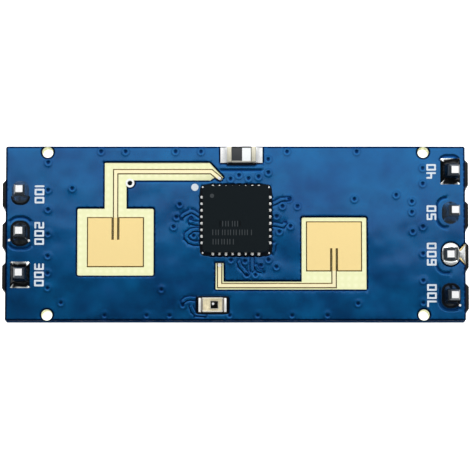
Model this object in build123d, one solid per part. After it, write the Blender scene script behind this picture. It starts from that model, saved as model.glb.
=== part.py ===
from build123d import *
import os

# A microwave radar sensor module: a blue circuit board with two gold patch antennas, a radar chip,
# a light sensor and a diode on top, standing on two rows of header pins.
# Millimetres. X runs along the board, +Y points at the edge with the diode, +Z is up.
# The origin is below the middle of the board, level with the lower ends of the pins.

# Circuit board: a laminate with one skin of copper and blue lacquer on each face
board_length = 28.0
board_side_margin = 0.27       # from the longer pin row's housing to the board's edge
board_corner_radius = 0.12
laminate_thickness = 1.1
skin_thickness = 0.05

# Round holes left where the board was broken out of its panel
breakoff_radius = 0.32
breakoff_lacquer_gap = 0.02
breakoff_end_distance = 2.55
breakoff_edge_distance = 0.36

# Header pins, pushed through plastic housings below the board
pin_pitch = 2.54
pin_side = 0.64
pin_end_side = 0.42
pin_taper_length = 0.25
pin_length_below = 6.0
pin_length_above = 1.55
right_pin_leans = ((0.21, -0.1), (0.21, 0.0), (-0.08, -0.17), (0.17, -0.1))
row_edge_distance = 0.9
left_pin_count = 3
right_pin_count = 4
housing_height = 2.54
housing_width = 2.34
housing_notch = 0.58

# Plated holes, their pads and the solder that fills them
drill_radius = 0.5
plating_thickness = 0.04
square_pad_size = (1.2, 1.6)
square_pad_corner = 0.08
round_pad_size = (1.04, 1.36)
round_pad_corner = 0.5
solder_margin = 0.02
solder_height = 1.15
solder_collar = 0.04
starved_solder_height = 0.34
edge_tab_neck = 0.42
edge_tab_end = 1.28
edge_tab_solder = 0.03

# Left patch antenna, fed from its upper side
copper_thickness = 0.04
feed_width = 0.2
feed_slot_width = 0.14
left_patch_center = (-7.3, -0.53)
left_patch_size = (3.34, 2.94)
left_slot_depth = 1.33
left_window_margin = (0.65, 0.58)
left_neck_width = 1.33
left_arm_width = 1.08
left_feed_height = 3.8
left_feed_bend_x = -1.47
left_feed_end = (-0.92, 3.34)
left_arm_end_x = (-0.6, -0.65)
left_arm_end_corners = ((-0.46, 0.04), (-0.32, 0.09), (-0.06, -0.11), (0.06, -0.08), (0.18, 0.11))
window_corner_radius = 0.1

# Right patch antenna, fed from its lower side
right_patch_center = (6.0, -0.79)
right_patch_size = (3.28, 2.94)
right_slot_depth = 1.35
right_window_margin = (0.33, 0.3)
right_arm_width = 0.48
right_feed_height = -3.19
right_feed_turn_x = -0.96
right_feed_end_y = -1.82

# Plated test hole, measured from the first corner of the left antenna's feed
test_point_offset = (0.87, -0.7)
test_hole_radius = 0.15
test_ring_radius = 0.27

# Lacquered vias, as shallow dimples
via_dimple_radius = 0.09
via_dimple_depth = 0.03
end_via_distance = 2.58
left_via_heights = (4.35, 2.65, 1.45, -0.05, -1.4, -2.45, -3.35)
right_via_heights = (4.0, 3.05, 0.4, -1.25, -2.9, -4.25)
edge_via_distance = 0.33
upper_via_places = (-8.2, -6.7, -3.65, -2.1, 3.15, 7.4)
lower_via_places = (-7.95, -5.4, -4.0, -0.35, 1.35, 3.45, 5.6)
chip_via_offsets = (
    (-3.43, 0.95), (-3.62, 0.18), (-3.8, -0.42), (-2.73, 0.08), (-2.58, -0.96),
    (3.24, 1.3), (2.84, 0.84), (3.75, 0.84), (2.48, 0.23), (3.32, -0.38), (2.65, -0.72),
    (-0.3, -2.46), (0.55, -2.52), (1.53, -2.78), (1.98, -2.44), (2.47, -2.87), (0.64, -3.36),
    (1.19, -3.36), (-0.33, 2.53), (0.19, 2.75), (0.77, 2.56), (1.38, 2.66), (1.98, 2.92),
)
other_via_places = (
    (-9.95, 2.75), (-10.6, -4.25), (-4.5, -3.45), (-3.2, -4.4),
    (7.25, 2.1), (9.8, 2.35), (10.75, 1.95), (10.75, 1.3), (10.8, 0.1), (7.45, -4.3), (2.0, 4.55),
)

# Shallow groove in the lacquer below the diode
groove_size = (2.5, 0.14)
groove_gap = 0.39
groove_depth = 0.03

# Radar chip: a square leadless package with eight flat leads along each side
radar_chip_center = (0.03, 0.81)
radar_chip_side = 4.04
radar_chip_corner_radius = 0.3
radar_chip_height = 0.75
radar_chip_mark_inset = (0.6, 0.6)
radar_chip_mark_radius = 0.1
radar_chip_mark_depth = 0.02
side_lead_count = 8
lead_pitch = 0.4
lead_size = (0.4, 0.18, 0.2)
chip_land_inner_reach = 0.05
chip_land_outer_reach = 0.15
thermal_pad_side = 2.6
chip_fillet_height = 0.17

# Diode by the upper edge, a block with metal ends and a painted band
diode_center_x = 0.37
diode_edge_gap = 0.07
diode_size = (1.76, 0.94, 0.5)
diode_end_length = 0.28
diode_band_length = 0.53
diode_band_gap = 0.03
diode_band_thickness = 0.02
diode_land_reach = 0.4

# Light sensor by the lower edge, a clear block over a white base
light_sensor_center_x = -1.39
light_sensor_edge_gap = 0.535
light_sensor_size = (1.7, 0.85)
light_sensor_base_height = 0.15
light_sensor_end_length = 0.2
light_sensor_lens_height = 0.33
sensor_die_side = 0.45
sensor_die_height = 0.12
sensor_die_offset = 0.11
light_sensor_land_reach = 0.1

# Parts on the underside. Lists hold the centre of each, and its turn in degrees.
crystal_place = (4.2, 0.8, 0)
crystal_size = (2.5, 2.0)
crystal_base_height = 0.35
crystal_lid_height = 0.15
crystal_lid_inset = 0.12
crystal_pad_size = (0.8, 0.7)
regulator_place = (-8.4, -1.9, 90)
regulator_size = (2.9, 1.3, 1.0)
regulator_lead_pitch = 1.9
regulator_lead_width = 0.4
regulator_lead_thickness = 0.12
regulator_lead_reach = 0.55
regulator_lead_foot = 0.35
regulator_standoff = 0.08
small_block_size = (1.0, 0.5)
large_block_size = (1.6, 0.8)
block_end_length = 0.25
block_land_reach = 0.22
small_capacitor_height = 0.5
large_capacitor_height = 0.8
resistor_height = 0.35
large_capacitor_places = ((-8.4, 1.3, 0), (-8.4, 3.4, 0))
small_capacitor_places = (
    (-2.6, 2.6, 90), (-1.3, 3.6, 0), (0.6, 3.6, 0), (2.0, 2.9, 90), (-2.9, 0.6, 90),
    (4.2, 2.6, 0), (4.2, -1.0, 0), (-1.2, -1.9, 0),
)
resistor_places = ((8.6, 2.6, 0), (8.6, 1.4, 0), (8.6, -0.2, 0), (8.6, -1.4, 0), (-5.4, -3.2, 90))

# White print: pin numbers, the chip's first lead and its corners
print_thickness = 0.012
print_stroke = 0.11
digit_height = 0.48
digit_width = 0.29
digit_advance = 0.5
label_row_distance = 1.16
left_label_digit_counts = (3, 3, 3)
right_label_digit_counts = (2, 2, 3, 3)
first_lead_dot_offset = (-2.5, 2.02)
first_lead_dot_radius = 0.22
corner_mark_gap = 0.02
corner_mark_length = 0.16

# Levels, from the pin ends up
housing_bottom = pin_length_below
board_bottom = housing_bottom + housing_height
laminate_bottom = board_bottom + skin_thickness
laminate_top = laminate_bottom + laminate_thickness
board_top = laminate_top + skin_thickness

# The board's width, from the longer pin row
board_width = right_pin_count * pin_pitch + 2 * board_side_margin

# Header rows, counted from the diode's edge down
pin_row_x = board_length / 2 - row_edge_distance
hole_radius = drill_radius - plating_thickness


def row_places(x, count):
    """The pin centres of one header row."""
    return [(x, pin_pitch * ((count - 1) / 2 - index)) for index in range(count)]


left_pin_places = row_places(-pin_row_x, left_pin_count)
right_pin_places = row_places(pin_row_x, right_pin_count)
pin_places = left_pin_places + right_pin_places
square_pad_places = [left_pin_places[-1], right_pin_places[0]]
starved_place = right_pin_places[-2]
pin_leans = dict(zip(right_pin_places, right_pin_leans))


def block(length, width, height):
    """A block centred on Z that stands on the local XY plane."""
    return Box(length, width, height, align=(Align.CENTER, Align.CENTER, Align.MIN))


def post(radius, height):
    """A round post on Z that stands on the local XY plane."""
    return Cylinder(radius, height, align=(Align.CENTER, Align.CENTER, Align.MIN))


def sheet(outline, z, thickness):
    """A flat outline given a thickness, with its lower face at z."""
    return Pos(0, 0, z) * extrude(outline, amount=thickness, dir=(0, 0, 1))


def track(points, width):
    """A flat strip of one width along a line of points, with mitred corners."""
    points = [Vector(*point) for point in points]
    directions = [(end - start).normalized() for start, end in zip(points, points[1:])]
    left_side = []
    right_side = []
    for index, point in enumerate(points):
        before = directions[max(index - 1, 0)]
        after = directions[min(index, len(directions) - 1)]
        across = (before + after).normalized().rotate(Axis.Z, 90)
        reach = width / 2 / across.dot(before.rotate(Axis.Z, 90))
        left_side.append(point + across * reach)
        right_side.append(point - across * reach)
    return make_face(Polyline(*left_side, *reversed(right_side), close=True))


def rectangle_between(left, right, lower, upper):
    """A flat rectangle given by its four sides."""
    middle = Pos((left + right) / 2, (lower + upper) / 2)
    return middle * Rectangle(right - left, upper - lower)


def save(node, solids):
    """Write the solids of one node to its STEP file."""
    shapes = solids if isinstance(solids, list) else [solids]
    parts = [solid for shape in shapes for solid in shape.solids()]
    export_step(parts[0] if len(parts) == 1 else Compound(children=parts), f"parts/{node}.step")


# Places on the board's two faces. Local Z points away from the board.
def on_top(x, y, turn=0):
    return Pos(x, y, board_top) * Rot(0, 0, turn)


def underneath(x, y, turn=0):
    return Pos(x, y, board_bottom) * Rot(180, 0, turn)


# Antennas
def patch(center, size, slot_depth, feed_side):
    """A rectangular patch with two slots beside its feed, which meets it on feed_side."""
    x, y = center
    edge_y = y + feed_side * size[1] / 2
    slot_y = edge_y - feed_side * slot_depth / 2
    slot_x = (feed_width + feed_slot_width) / 2
    slots = [Pos(x + side * slot_x, slot_y) * Rectangle(feed_slot_width, slot_depth) for side in (-1, 1)]
    return Pos(x, y) * Rectangle(*size) - slots


def window(center, size, margin):
    """The opening in the lacquer round a patch."""
    outline = RectangleRounded(size[0] + 2 * margin[0], size[1] + 2 * margin[1], window_corner_radius)
    return Pos(*center) * outline


left_feed_x = left_patch_center[0]
left_patch_top = left_patch_center[1] + left_patch_size[1] / 2
left_feed_bend = (left_feed_bend_x, left_feed_height)
right_feed_x = right_patch_center[0]
right_patch_bottom = right_patch_center[1] - right_patch_size[1] / 2
test_point_place = (left_feed_x + test_point_offset[0], left_feed_height + test_point_offset[1])


def left_antenna_outline():
    """The left patch with its feed, which runs up, along and down to the radar chip."""
    feed = track(
        [(left_feed_x, left_patch_top), (left_feed_x, left_feed_height), left_feed_bend, left_feed_end],
        feed_width,
    )
    return patch(left_patch_center, left_patch_size, left_slot_depth, 1) + feed


def left_window_outline():
    """The left opening: round the patch, up the neck and along the arm to a slanted end."""
    neck_left = left_feed_x - left_neck_width / 2
    arm_top = left_feed_height + left_arm_width / 2
    arm_bottom = left_feed_height - left_arm_width / 2
    neck = rectangle_between(neck_left, neck_left + left_neck_width, left_patch_center[1], arm_top)
    end_x, end_y = left_feed_end
    lower_end, upper_end = (end_x + shift for shift in left_arm_end_x)
    arm = make_face(Polyline(
        (neck_left, arm_top),
        (neck_left, arm_bottom),
        (lower_end, arm_bottom),
        *[(end_x + shift_x, end_y + shift_y) for shift_x, shift_y in left_arm_end_corners],
        (upper_end, arm_top),
        close=True,
    ))
    slant = track([left_feed_bend, left_feed_end], feed_width)
    return window(left_patch_center, left_patch_size, left_window_margin) + neck + arm + slant


def right_feed_points():
    """The right feed's turns, from the patch down, along and up to the radar chip."""
    return [
        (right_feed_x, right_patch_bottom),
        (right_feed_x, right_feed_height),
        (right_feed_turn_x, right_feed_height),
        (right_feed_turn_x, right_feed_end_y),
    ]


def right_antenna_outline():
    """The right patch with its feed."""
    return patch(right_patch_center, right_patch_size, right_slot_depth, -1) + track(
        right_feed_points(), feed_width
    )


def right_window_outline():
    """The right opening: round the patch, and along the arm to the end of the feed."""
    arm_bottom = right_feed_height - right_arm_width / 2
    patch_side = right_patch_size[0] / 2 + right_window_margin[0]
    neck = rectangle_between(
        right_feed_x - patch_side, right_feed_x + patch_side, arm_bottom, right_patch_center[1]
    )
    arm = track(right_feed_points()[1:], right_arm_width)
    return window(right_patch_center, right_patch_size, right_window_margin) + neck + arm


# Plated holes and solder
def pad_sizes(place, shrink=0.0):
    """The length, width and corner radius of one pin's pad, drawn in by shrink."""
    size = square_pad_size if place in square_pad_places else round_pad_size
    corner = square_pad_corner if place in square_pad_places else round_pad_corner
    return size[0] - 2 * shrink, size[1] - 2 * shrink, corner - shrink


def pad_outline(place):
    """The outline of one pin's pad, about its own centre."""
    return RectangleRounded(*pad_sizes(place))


def edge_tab_outline(place):
    """The bare copper between the starved pad and the board's end, widest at the end."""
    x, y = place
    start = x + hole_radius
    end = board_length / 2
    corners = [
        (start, y - edge_tab_neck / 2),
        (end, y - edge_tab_end / 2),
        (end, y + edge_tab_end / 2),
        (start, y + edge_tab_neck / 2),
    ]
    return make_face(Polyline(*corners, close=True))


def plating(place):
    """The copper of one pin's hole: a barrel with a pad on each face."""
    upper_pad = sheet(Pos(*place) * pad_outline(place), laminate_top, skin_thickness)
    lower_pad = sheet(Pos(*place) * pad_outline(place), board_bottom, skin_thickness)
    barrel = Pos(*place, laminate_bottom) * post(drill_radius, laminate_thickness)
    hole = Pos(*place, board_bottom) * post(hole_radius, board_top - board_bottom)
    copper = upper_pad + barrel + lower_pad
    if place == starved_place:
        copper += sheet(edge_tab_outline(place), laminate_top, skin_thickness)
    return copper - hole


def pin_axis(place, height):
    """Where a pin's middle is, at a height above the board's upper face."""
    lean_x, lean_y = pin_leans.get(place, (0.0, 0.0))
    share = max(height, 0.0) / pin_length_above
    return Pos(place[0] + lean_x * share, place[1] + lean_y * share, board_top + height)


def pin_shaft(place):
    """The square part of one pin: upright up to the board's upper face, then leaning a little."""
    straight = Pos(*place, pin_taper_length) * block(pin_side, pin_side, board_top - pin_taper_length)
    ends = [pin_axis(place, height) for height in (0.0, pin_length_above - pin_taper_length)]
    return straight + loft([end * Rectangle(pin_side, pin_side) for end in ends])


def pin(place):
    """One square pin with tapered ends."""
    upper_tip = loft([
        pin_axis(place, pin_length_above - pin_taper_length) * Rectangle(pin_side, pin_side),
        pin_axis(place, pin_length_above) * Rectangle(pin_end_side, pin_end_side),
    ])
    lower_tip = loft([
        Pos(*place, 0) * Rectangle(pin_end_side, pin_end_side),
        Pos(*place, pin_taper_length) * Rectangle(pin_side, pin_side),
    ])
    return pin_shaft(place) + upper_tip + lower_tip


def solder_joint(place):
    """The solder of one pin: a hollow-sided cone on the pad, and the fill of the hole."""
    starved = place == starved_place
    height = starved_solder_height if starved else solder_height
    collar_side = pin_side + 2 * solder_collar
    collar_corner = solder_collar * 2
    foot_length, foot_width, foot_corner = pad_sizes(place, solder_margin)
    sections = []
    steps = 6
    for step in range(steps + 1):
        rise = step / steps
        spread = (1 - rise) ** 2
        section = RectangleRounded(
            collar_side + (foot_length - collar_side) * spread,
            collar_side + (foot_width - collar_side) * spread,
            collar_corner + (foot_corner - collar_corner) * spread,
        )
        sections.append(pin_axis(place, height * rise) * section)
    fill = Pos(*place, board_bottom) * post(hole_radius, board_top - board_bottom)
    joint = loft(sections, ruled=True) + fill
    if starved:
        joint += sheet(edge_tab_outline(place), board_top, edge_tab_solder)
    return joint - pin_shaft(place)


def header_housing(places):
    """The moulded housing of one row: a block with eight-sided segments, open round each pin."""
    x = places[0][0]
    length = pin_pitch * len(places)
    housing = Pos(x, 0, housing_bottom) * block(housing_width, length, housing_height)
    notch_turn = Rot(0, 0, 45)
    notch_side = housing_notch * 2 ** 0.5
    for index in range(len(places) + 1):
        y = pin_pitch * (index - len(places) / 2)
        for side in (-1, 1):
            corner = Pos(x + side * housing_width / 2, y, housing_bottom)
            housing -= corner * notch_turn * block(notch_side, notch_side, housing_height)
    return housing - [pin_shaft(place) for place in places]


# Parts with two metal ends
def end_block(size, end_length, side):
    """One metal end of a block-shaped part; side is -1 or 1."""
    return Pos(side * (size[0] - end_length) / 2, 0, 0) * block(end_length, size[1], size[2])


def middle_block(size, end_length):
    """The middle of a block-shaped part, between its metal ends."""
    return block(size[0] - 2 * end_length, size[1], size[2])


def solder_wedge(length, width, height):
    """A hollow-sided wedge of solder that rises towards local -X, from x = 0."""
    profile = make_face([
        Line((length, 0), (0, 0)),
        Line((0, 0), (0, height)),
        RadiusArc((0, height), (length, 0), -max(length, height) * 1.2),
    ])
    return Rot(90, 0, 0) * extrude(profile, amount=width / 2, both=True)


def end_land(size, end_length, reach, side):
    """The land under one metal end, reach longer than the part."""
    length = end_length + reach
    center_x = side * (size[0] / 2 + reach - length / 2)
    return Pos(center_x, 0, -skin_thickness) * block(length, size[1], skin_thickness)


def end_solder(size, reach, height, side):
    """The solder at one metal end."""
    turn = Rot(0, 0, 0 if side > 0 else 180)
    return Pos(side * size[0] / 2, 0, 0) * turn * solder_wedge(reach, size[1], height)


def at_both_ends(piece, *values):
    """The same piece at the two ends of a part."""
    return [piece(*values, side) for side in (-1, 1)]


def placed(places, shapes):
    """Each shape at each place."""
    return [place * shape for place in places for shape in shapes]


# Radar chip
radar_chip_place = on_top(*radar_chip_center)


def at_each_lead(piece):
    """A copy of a piece at each lead, with local x = 0 on the package's side."""
    middle = (side_lead_count - 1) / 2
    return [
        radar_chip_place * Rot(0, 0, 90 * side)
        * Pos(radar_chip_side / 2, (index - middle) * lead_pitch, 0) * piece
        for side in range(4)
        for index in range(side_lead_count)
    ]


def chip_leads():
    """The flat leads, flush with the package's side and seat."""
    return at_each_lead(Pos(-lead_size[0] / 2, 0, 0) * block(*lead_size))


def chip_thermal_pad():
    """The metal pad under the middle of the package."""
    return radar_chip_place * block(thermal_pad_side, thermal_pad_side, lead_size[2])


def chip_lands():
    """The lands under the leads and the thermal pad."""
    length = lead_size[0] + chip_land_inner_reach + chip_land_outer_reach
    center_x = chip_land_outer_reach - length / 2
    land = Pos(center_x, 0, -skin_thickness) * block(length, lead_size[1], skin_thickness)
    middle = Pos(0, 0, -skin_thickness) * block(thermal_pad_side, thermal_pad_side, skin_thickness)
    return at_each_lead(land) + [radar_chip_place * middle]


def chip_body():
    """The moulded package, with a small round mark sunk near its first lead."""
    outline = RectangleRounded(radar_chip_side, radar_chip_side, radar_chip_corner_radius)
    package = radar_chip_place * extrude(outline, amount=radar_chip_height)
    mark_x = radar_chip_mark_inset[0] - radar_chip_side / 2
    mark_y = radar_chip_side / 2 - radar_chip_mark_inset[1]
    mark_place = radar_chip_place * Pos(mark_x, mark_y, radar_chip_height - radar_chip_mark_depth)
    mark = mark_place * post(radar_chip_mark_radius, radar_chip_mark_depth)
    return package - [mark, chip_thermal_pad()] - chip_leads()


# Diode
diode_place = on_top(diode_center_x, board_width / 2 - diode_edge_gap - diode_size[1] / 2)


def diode_band():
    """The painted band beside the right metal end."""
    left_of_end = diode_size[0] / 2 - diode_end_length - diode_band_gap
    center_x = left_of_end - diode_band_length / 2
    return diode_place * Pos(center_x, 0, diode_size[2]) * block(
        diode_band_length, diode_size[1], diode_band_thickness
    )


# Light sensor
light_sensor_place = on_top(
    light_sensor_center_x, light_sensor_edge_gap + (light_sensor_size[1] - board_width) / 2
)
light_sensor_block = (*light_sensor_size, light_sensor_base_height)


def light_sensor_die():
    """The dark square that senses the light."""
    place = light_sensor_place * Pos(sensor_die_offset, 0, light_sensor_base_height)
    return place * block(sensor_die_side, sensor_die_side, sensor_die_height)


def light_sensor_lens():
    """The clear block over the base, cast round the die."""
    length = light_sensor_size[0] - 2 * light_sensor_end_length
    lens = block(length, light_sensor_size[1], light_sensor_lens_height)
    return light_sensor_place * Pos(0, 0, light_sensor_base_height) * lens - light_sensor_die()


# Regulator
regulator_position = underneath(*regulator_place)


def regulator_lead_places():
    """Where the three leads leave the package: two on one side, one on the other."""
    half_width = regulator_size[1] / 2
    return [
        regulator_position * Pos(-regulator_lead_pitch / 2, half_width, 0) * Rot(0, 0, 90),
        regulator_position * Pos(regulator_lead_pitch / 2, half_width, 0) * Rot(0, 0, 90),
        regulator_position * Pos(0, -half_width, 0) * Rot(0, 0, -90),
    ]


def regulator_lead():
    """One bent lead: out of the package, down, and flat on its land."""
    middle = regulator_size[2] / 2
    half = regulator_lead_thickness / 2
    knee = regulator_lead_reach - regulator_lead_foot
    points = [(0, middle), (knee, middle), (knee, half), (regulator_lead_reach, half)]
    strip = track(points, regulator_lead_thickness)
    return Rot(90, 0, 0) * extrude(strip, amount=regulator_lead_width / 2, both=True)


def regulator_land():
    """The land under one lead's foot."""
    center_x = regulator_lead_reach - regulator_lead_foot / 2
    return Pos(center_x, 0, -skin_thickness) * block(
        regulator_lead_foot + 2 * regulator_lead_thickness, 1.5 * regulator_lead_width, skin_thickness
    )


def regulator_body():
    """The moulded package, just clear of the board."""
    height = regulator_size[2] - regulator_standoff
    return regulator_position * Pos(0, 0, regulator_standoff) * block(*regulator_size[:2], height)


# Crystal
crystal_position = underneath(*crystal_place)


def crystal_pads():
    """The crystal's four corner lands."""
    x = (crystal_size[0] - crystal_pad_size[0]) / 2
    y = (crystal_size[1] - crystal_pad_size[1]) / 2
    land = Pos(0, 0, -skin_thickness) * block(*crystal_pad_size, skin_thickness)
    corners = [(side_x * x, side_y * y) for side_x in (-1, 1) for side_y in (-1, 1)]
    return [crystal_position * Pos(*corner, 0) * land for corner in corners]


def crystal_lid():
    """The metal lid on the ceramic base."""
    length, width = (side - 2 * crystal_lid_inset for side in crystal_size)
    return crystal_position * Pos(0, 0, crystal_base_height) * block(length, width, crystal_lid_height)


# Small blocks on the underside
small_capacitor = (*small_block_size, small_capacitor_height)
large_capacitor = (*large_block_size, large_capacitor_height)
resistor = (*small_block_size, resistor_height)
underside_blocks = [
    (small_capacitor, [underneath(*place) for place in small_capacitor_places]),
    (large_capacitor, [underneath(*place) for place in large_capacitor_places]),
    (resistor, [underneath(*place) for place in resistor_places]),
]


def block_ends(size, places):
    return placed(places, at_both_ends(end_block, size, block_end_length))


def block_middles(size, places):
    return placed(places, [middle_block(size, block_end_length)])


def top_lands():
    """The lands of the diode and the light sensor."""
    diode_lands = at_both_ends(end_land, diode_size, diode_end_length, diode_land_reach)
    sensor_lands = at_both_ends(
        end_land, light_sensor_block, light_sensor_end_length, light_sensor_land_reach
    )
    return placed([diode_place], diode_lands) + placed([light_sensor_place], sensor_lands)


def bottom_lands():
    """The lands of every part on the underside."""
    lands = crystal_pads() + placed(regulator_lead_places(), [regulator_land()])
    for size, places in underside_blocks:
        lands += placed(places, at_both_ends(end_land, size, block_end_length, block_land_reach))
    return lands


def bottom_solder():
    """The solder of the small blocks on the underside."""
    solder = []
    for size, places in underside_blocks:
        wedges = at_both_ends(end_solder, size, block_land_reach, size[2] / 2)
        solder += placed(places, wedges)
    return solder


# Board
def breakoff_places():
    """The four holes near the corners."""
    x = board_length / 2 - breakoff_end_distance
    y = board_width / 2 - breakoff_edge_distance
    return [(side_x * x, side_y * y) for side_x in (-1, 1) for side_y in (-1, 1)]


def end_via_places():
    """The vias in columns beside the labels and in rows along the edges."""
    x = board_length / 2 - end_via_distance
    y = board_width / 2 - edge_via_distance
    columns = [(-x, height) for height in left_via_heights] + [(x, height) for height in right_via_heights]
    rows = [(place, y) for place in upper_via_places] + [(place, -y) for place in lower_via_places]
    return columns + rows


def top_via_places():
    """Every via that shows on top."""
    chip_x, chip_y = radar_chip_center
    beside_chip = [(chip_x + x, chip_y + y) for x, y in chip_via_offsets]
    return end_via_places() + beside_chip + list(other_via_places)


def board_outline():
    return RectangleRounded(board_length, board_width, board_corner_radius)


def holes_through(places, radius):
    """Round tools that pass through the whole board."""
    return [Pos(x, y, board_bottom) * post(radius, board_top - board_bottom) for x, y in places]


def test_point():
    """The plated test hole with a ring on each face."""
    ring = Pos(*test_point_place) * Circle(test_ring_radius)
    barrel = holes_through([test_point_place], test_hole_radius + plating_thickness)[0]
    rings = [sheet(ring, z, skin_thickness) for z in (board_bottom, laminate_top)]
    return barrel + rings - holes_through([test_point_place], test_hole_radius)


def laminate():
    """The board's core, with every drilled hole."""
    core = sheet(board_outline(), laminate_bottom, laminate_thickness)
    drilled = holes_through(pin_places, drill_radius)
    drilled += holes_through([test_point_place], test_hole_radius + plating_thickness)
    return core - drilled - holes_through(breakoff_places(), breakoff_radius)


def lacquer(z):
    """One skin of lacquer, open round the pin pads, the test point and the break-off holes."""
    skin = sheet(board_outline(), z, skin_thickness)
    openings = holes_through(breakoff_places(), breakoff_radius + breakoff_lacquer_gap)
    openings += holes_through([test_point_place], test_ring_radius)
    openings += [sheet(Pos(*place) * pad_outline(place), z, skin_thickness) for place in pin_places]
    return skin - openings


def top_lacquer():
    """The upper skin, with the antenna windows, the lands, the vias and the groove cut in it."""
    windows = [
        sheet(outline, laminate_top, skin_thickness)
        for outline in (left_window_outline(), right_window_outline(), edge_tab_outline(starved_place))
    ]
    dimples = [
        on_top(x, y) * Pos(0, 0, -via_dimple_depth) * post(via_dimple_radius, via_dimple_depth)
        for x, y in top_via_places()
    ]
    groove_y = -diode_size[1] / 2 - groove_gap - groove_size[1] / 2
    groove = diode_place * Pos(0, groove_y, -groove_depth) * block(*groove_size, groove_depth)
    return lacquer(laminate_top) - windows - chip_lands() - top_lands() - dimples - groove


def bottom_lacquer():
    """The lower skin, with the lands and the outer vias cut in it."""
    dimples = [
        Pos(x, y, board_bottom) * post(via_dimple_radius, via_dimple_depth) for x, y in end_via_places()
    ]
    return lacquer(board_bottom) - bottom_lands() - dimples


# White print
digit_corners = {
    "a": (-digit_width / 2, digit_height / 2), "b": (digit_width / 2, digit_height / 2),
    "c": (-digit_width / 2, 0), "d": (digit_width / 2, 0),
    "e": (-digit_width / 2, -digit_height / 2), "f": (digit_width / 2, -digit_height / 2),
}
digit_paths = {
    "0": ("abfea",), "1": ("bf",), "2": ("abdcef",), "3": ("abfe", "cd"),
    "4": ("acd", "bf"), "5": ("bacdfe",), "6": ("baefdc",), "7": ("abf",),
}


def stroke(start, end):
    """One round-ended line of print."""
    line = Vector(*end) - Vector(*start)
    middle = Vector(*start) + line * 0.5
    turn = Vector(1, 0).get_signed_angle(line, Vector(0, 0, 1))
    return Pos(middle.X, middle.Y) * Rot(0, 0, turn) * SlotCenterToCenter(line.length, print_stroke)


def digit(character):
    """One digit, about its own centre."""
    strokes = []
    for path in digit_paths[character]:
        corners = [digit_corners[letter] for letter in path]
        strokes += [stroke(start, end) for start, end in zip(corners, corners[1:])]
    return strokes


def label(number, length, place, turn):
    """A pin's number, filled up with zeros to the label's length."""
    strokes = []
    for index, character in enumerate(str(number).ljust(length, "0")):
        shift = (index - (length - 1) / 2) * digit_advance
        strokes += [Pos(*place) * Rot(0, 0, turn) * Pos(shift, 0) * part for part in digit(character)]
    return strokes


def pin_labels():
    """The labels of both rows, each beside its pin."""
    rows = [
        (left_pin_places, left_label_digit_counts, label_row_distance, -90),
        (right_pin_places, right_label_digit_counts, -label_row_distance, 90),
    ]
    strokes = []
    number = 0
    for places, lengths, shift, turn in rows:
        for place, length in zip(places, lengths):
            number += 1
            strokes += label(number, length, (place[0] + shift, place[1]), turn)
    return strokes


def corner_marks():
    """A short slanted line across each of the chip's rounded corners."""
    half_diagonal = radar_chip_side / 2 ** 0.5 - radar_chip_corner_radius * (2 ** 0.5 - 1)
    reach = half_diagonal + corner_mark_gap + print_stroke / 2
    mark = stroke((reach, -corner_mark_length / 2), (reach, corner_mark_length / 2))
    return [Pos(*radar_chip_center) * Rot(0, 0, 45 + 90 * corner) * mark for corner in range(4)]


def white_print():
    """All the print on the upper face."""
    dot_x = radar_chip_center[0] + first_lead_dot_offset[0]
    dot_y = radar_chip_center[1] + first_lead_dot_offset[1]
    dot = Pos(dot_x, dot_y) * Circle(first_lead_dot_radius)
    outline = Sketch() + (pin_labels() + corner_marks() + [dot])
    return sheet(outline, board_top, print_thickness)


def save_board():
    save("board_laminate", laminate())
    save("upper_lacquer", top_lacquer())
    save("lower_lacquer", bottom_lacquer())
    left_copper = left_antenna_outline() & left_window_outline()
    right_copper = right_antenna_outline() & right_window_outline()
    save("left_antenna", sheet(left_copper, laminate_top, copper_thickness))
    save("right_antenna", sheet(right_copper, laminate_top, copper_thickness))
    save("pin_hole_plating", [plating(place) for place in pin_places])
    save("test_point", test_point())
    save("chip_lands", chip_lands())
    save("upper_lands", top_lands())
    save("lower_lands", bottom_lands())
    save("white_print", white_print())


def save_headers():
    for side, places in (("left", left_pin_places), ("right", right_pin_places)):
        save(f"{side}_header_housing", header_housing(places))
        for number, place in enumerate(places, 1):
            save(f"{side}_pin_{number}", pin(place))
            save(f"{side}_solder_{number}", solder_joint(place))


def save_top_parts():
    save("radar_chip_body", chip_body())
    save("radar_chip_leads", chip_leads())
    save("radar_chip_thermal_pad", chip_thermal_pad())
    lead_solder = solder_wedge(chip_land_outer_reach, lead_size[1], chip_fillet_height)
    save("radar_chip_solder", at_each_lead(lead_solder))
    save("diode_body", diode_place * middle_block(diode_size, diode_end_length))
    save("diode_band", diode_band())
    save("diode_ends", placed([diode_place], at_both_ends(end_block, diode_size, diode_end_length)))
    diode_solder = at_both_ends(end_solder, diode_size, diode_land_reach, diode_size[2] / 2)
    save("diode_solder", placed([diode_place], diode_solder))
    save("light_sensor_base", light_sensor_place * middle_block(light_sensor_block, light_sensor_end_length))
    sensor_ends = at_both_ends(end_block, light_sensor_block, light_sensor_end_length)
    save("light_sensor_ends", placed([light_sensor_place], sensor_ends))
    sensor_solder = at_both_ends(
        end_solder, light_sensor_block, light_sensor_land_reach, light_sensor_base_height
    )
    save("light_sensor_solder", placed([light_sensor_place], sensor_solder))
    save("light_sensor_die", light_sensor_die())
    save("light_sensor_lens", light_sensor_lens())


def save_bottom_parts():
    save("crystal_base", crystal_position * block(*crystal_size, crystal_base_height))
    save("crystal_lid", crystal_lid())
    save("regulator_body", regulator_body())
    save("regulator_leads", placed(regulator_lead_places(), [regulator_lead()]))
    capacitors = underside_blocks[:2]
    save("capacitor_bodies", [part for group in capacitors for part in block_middles(*group)])
    save("capacitor_ends", [part for group in capacitors for part in block_ends(*group)])
    save("resistor_bodies", block_middles(*underside_blocks[2]))
    save("resistor_ends", block_ends(*underside_blocks[2]))
    save("underside_solder", bottom_solder())


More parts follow.
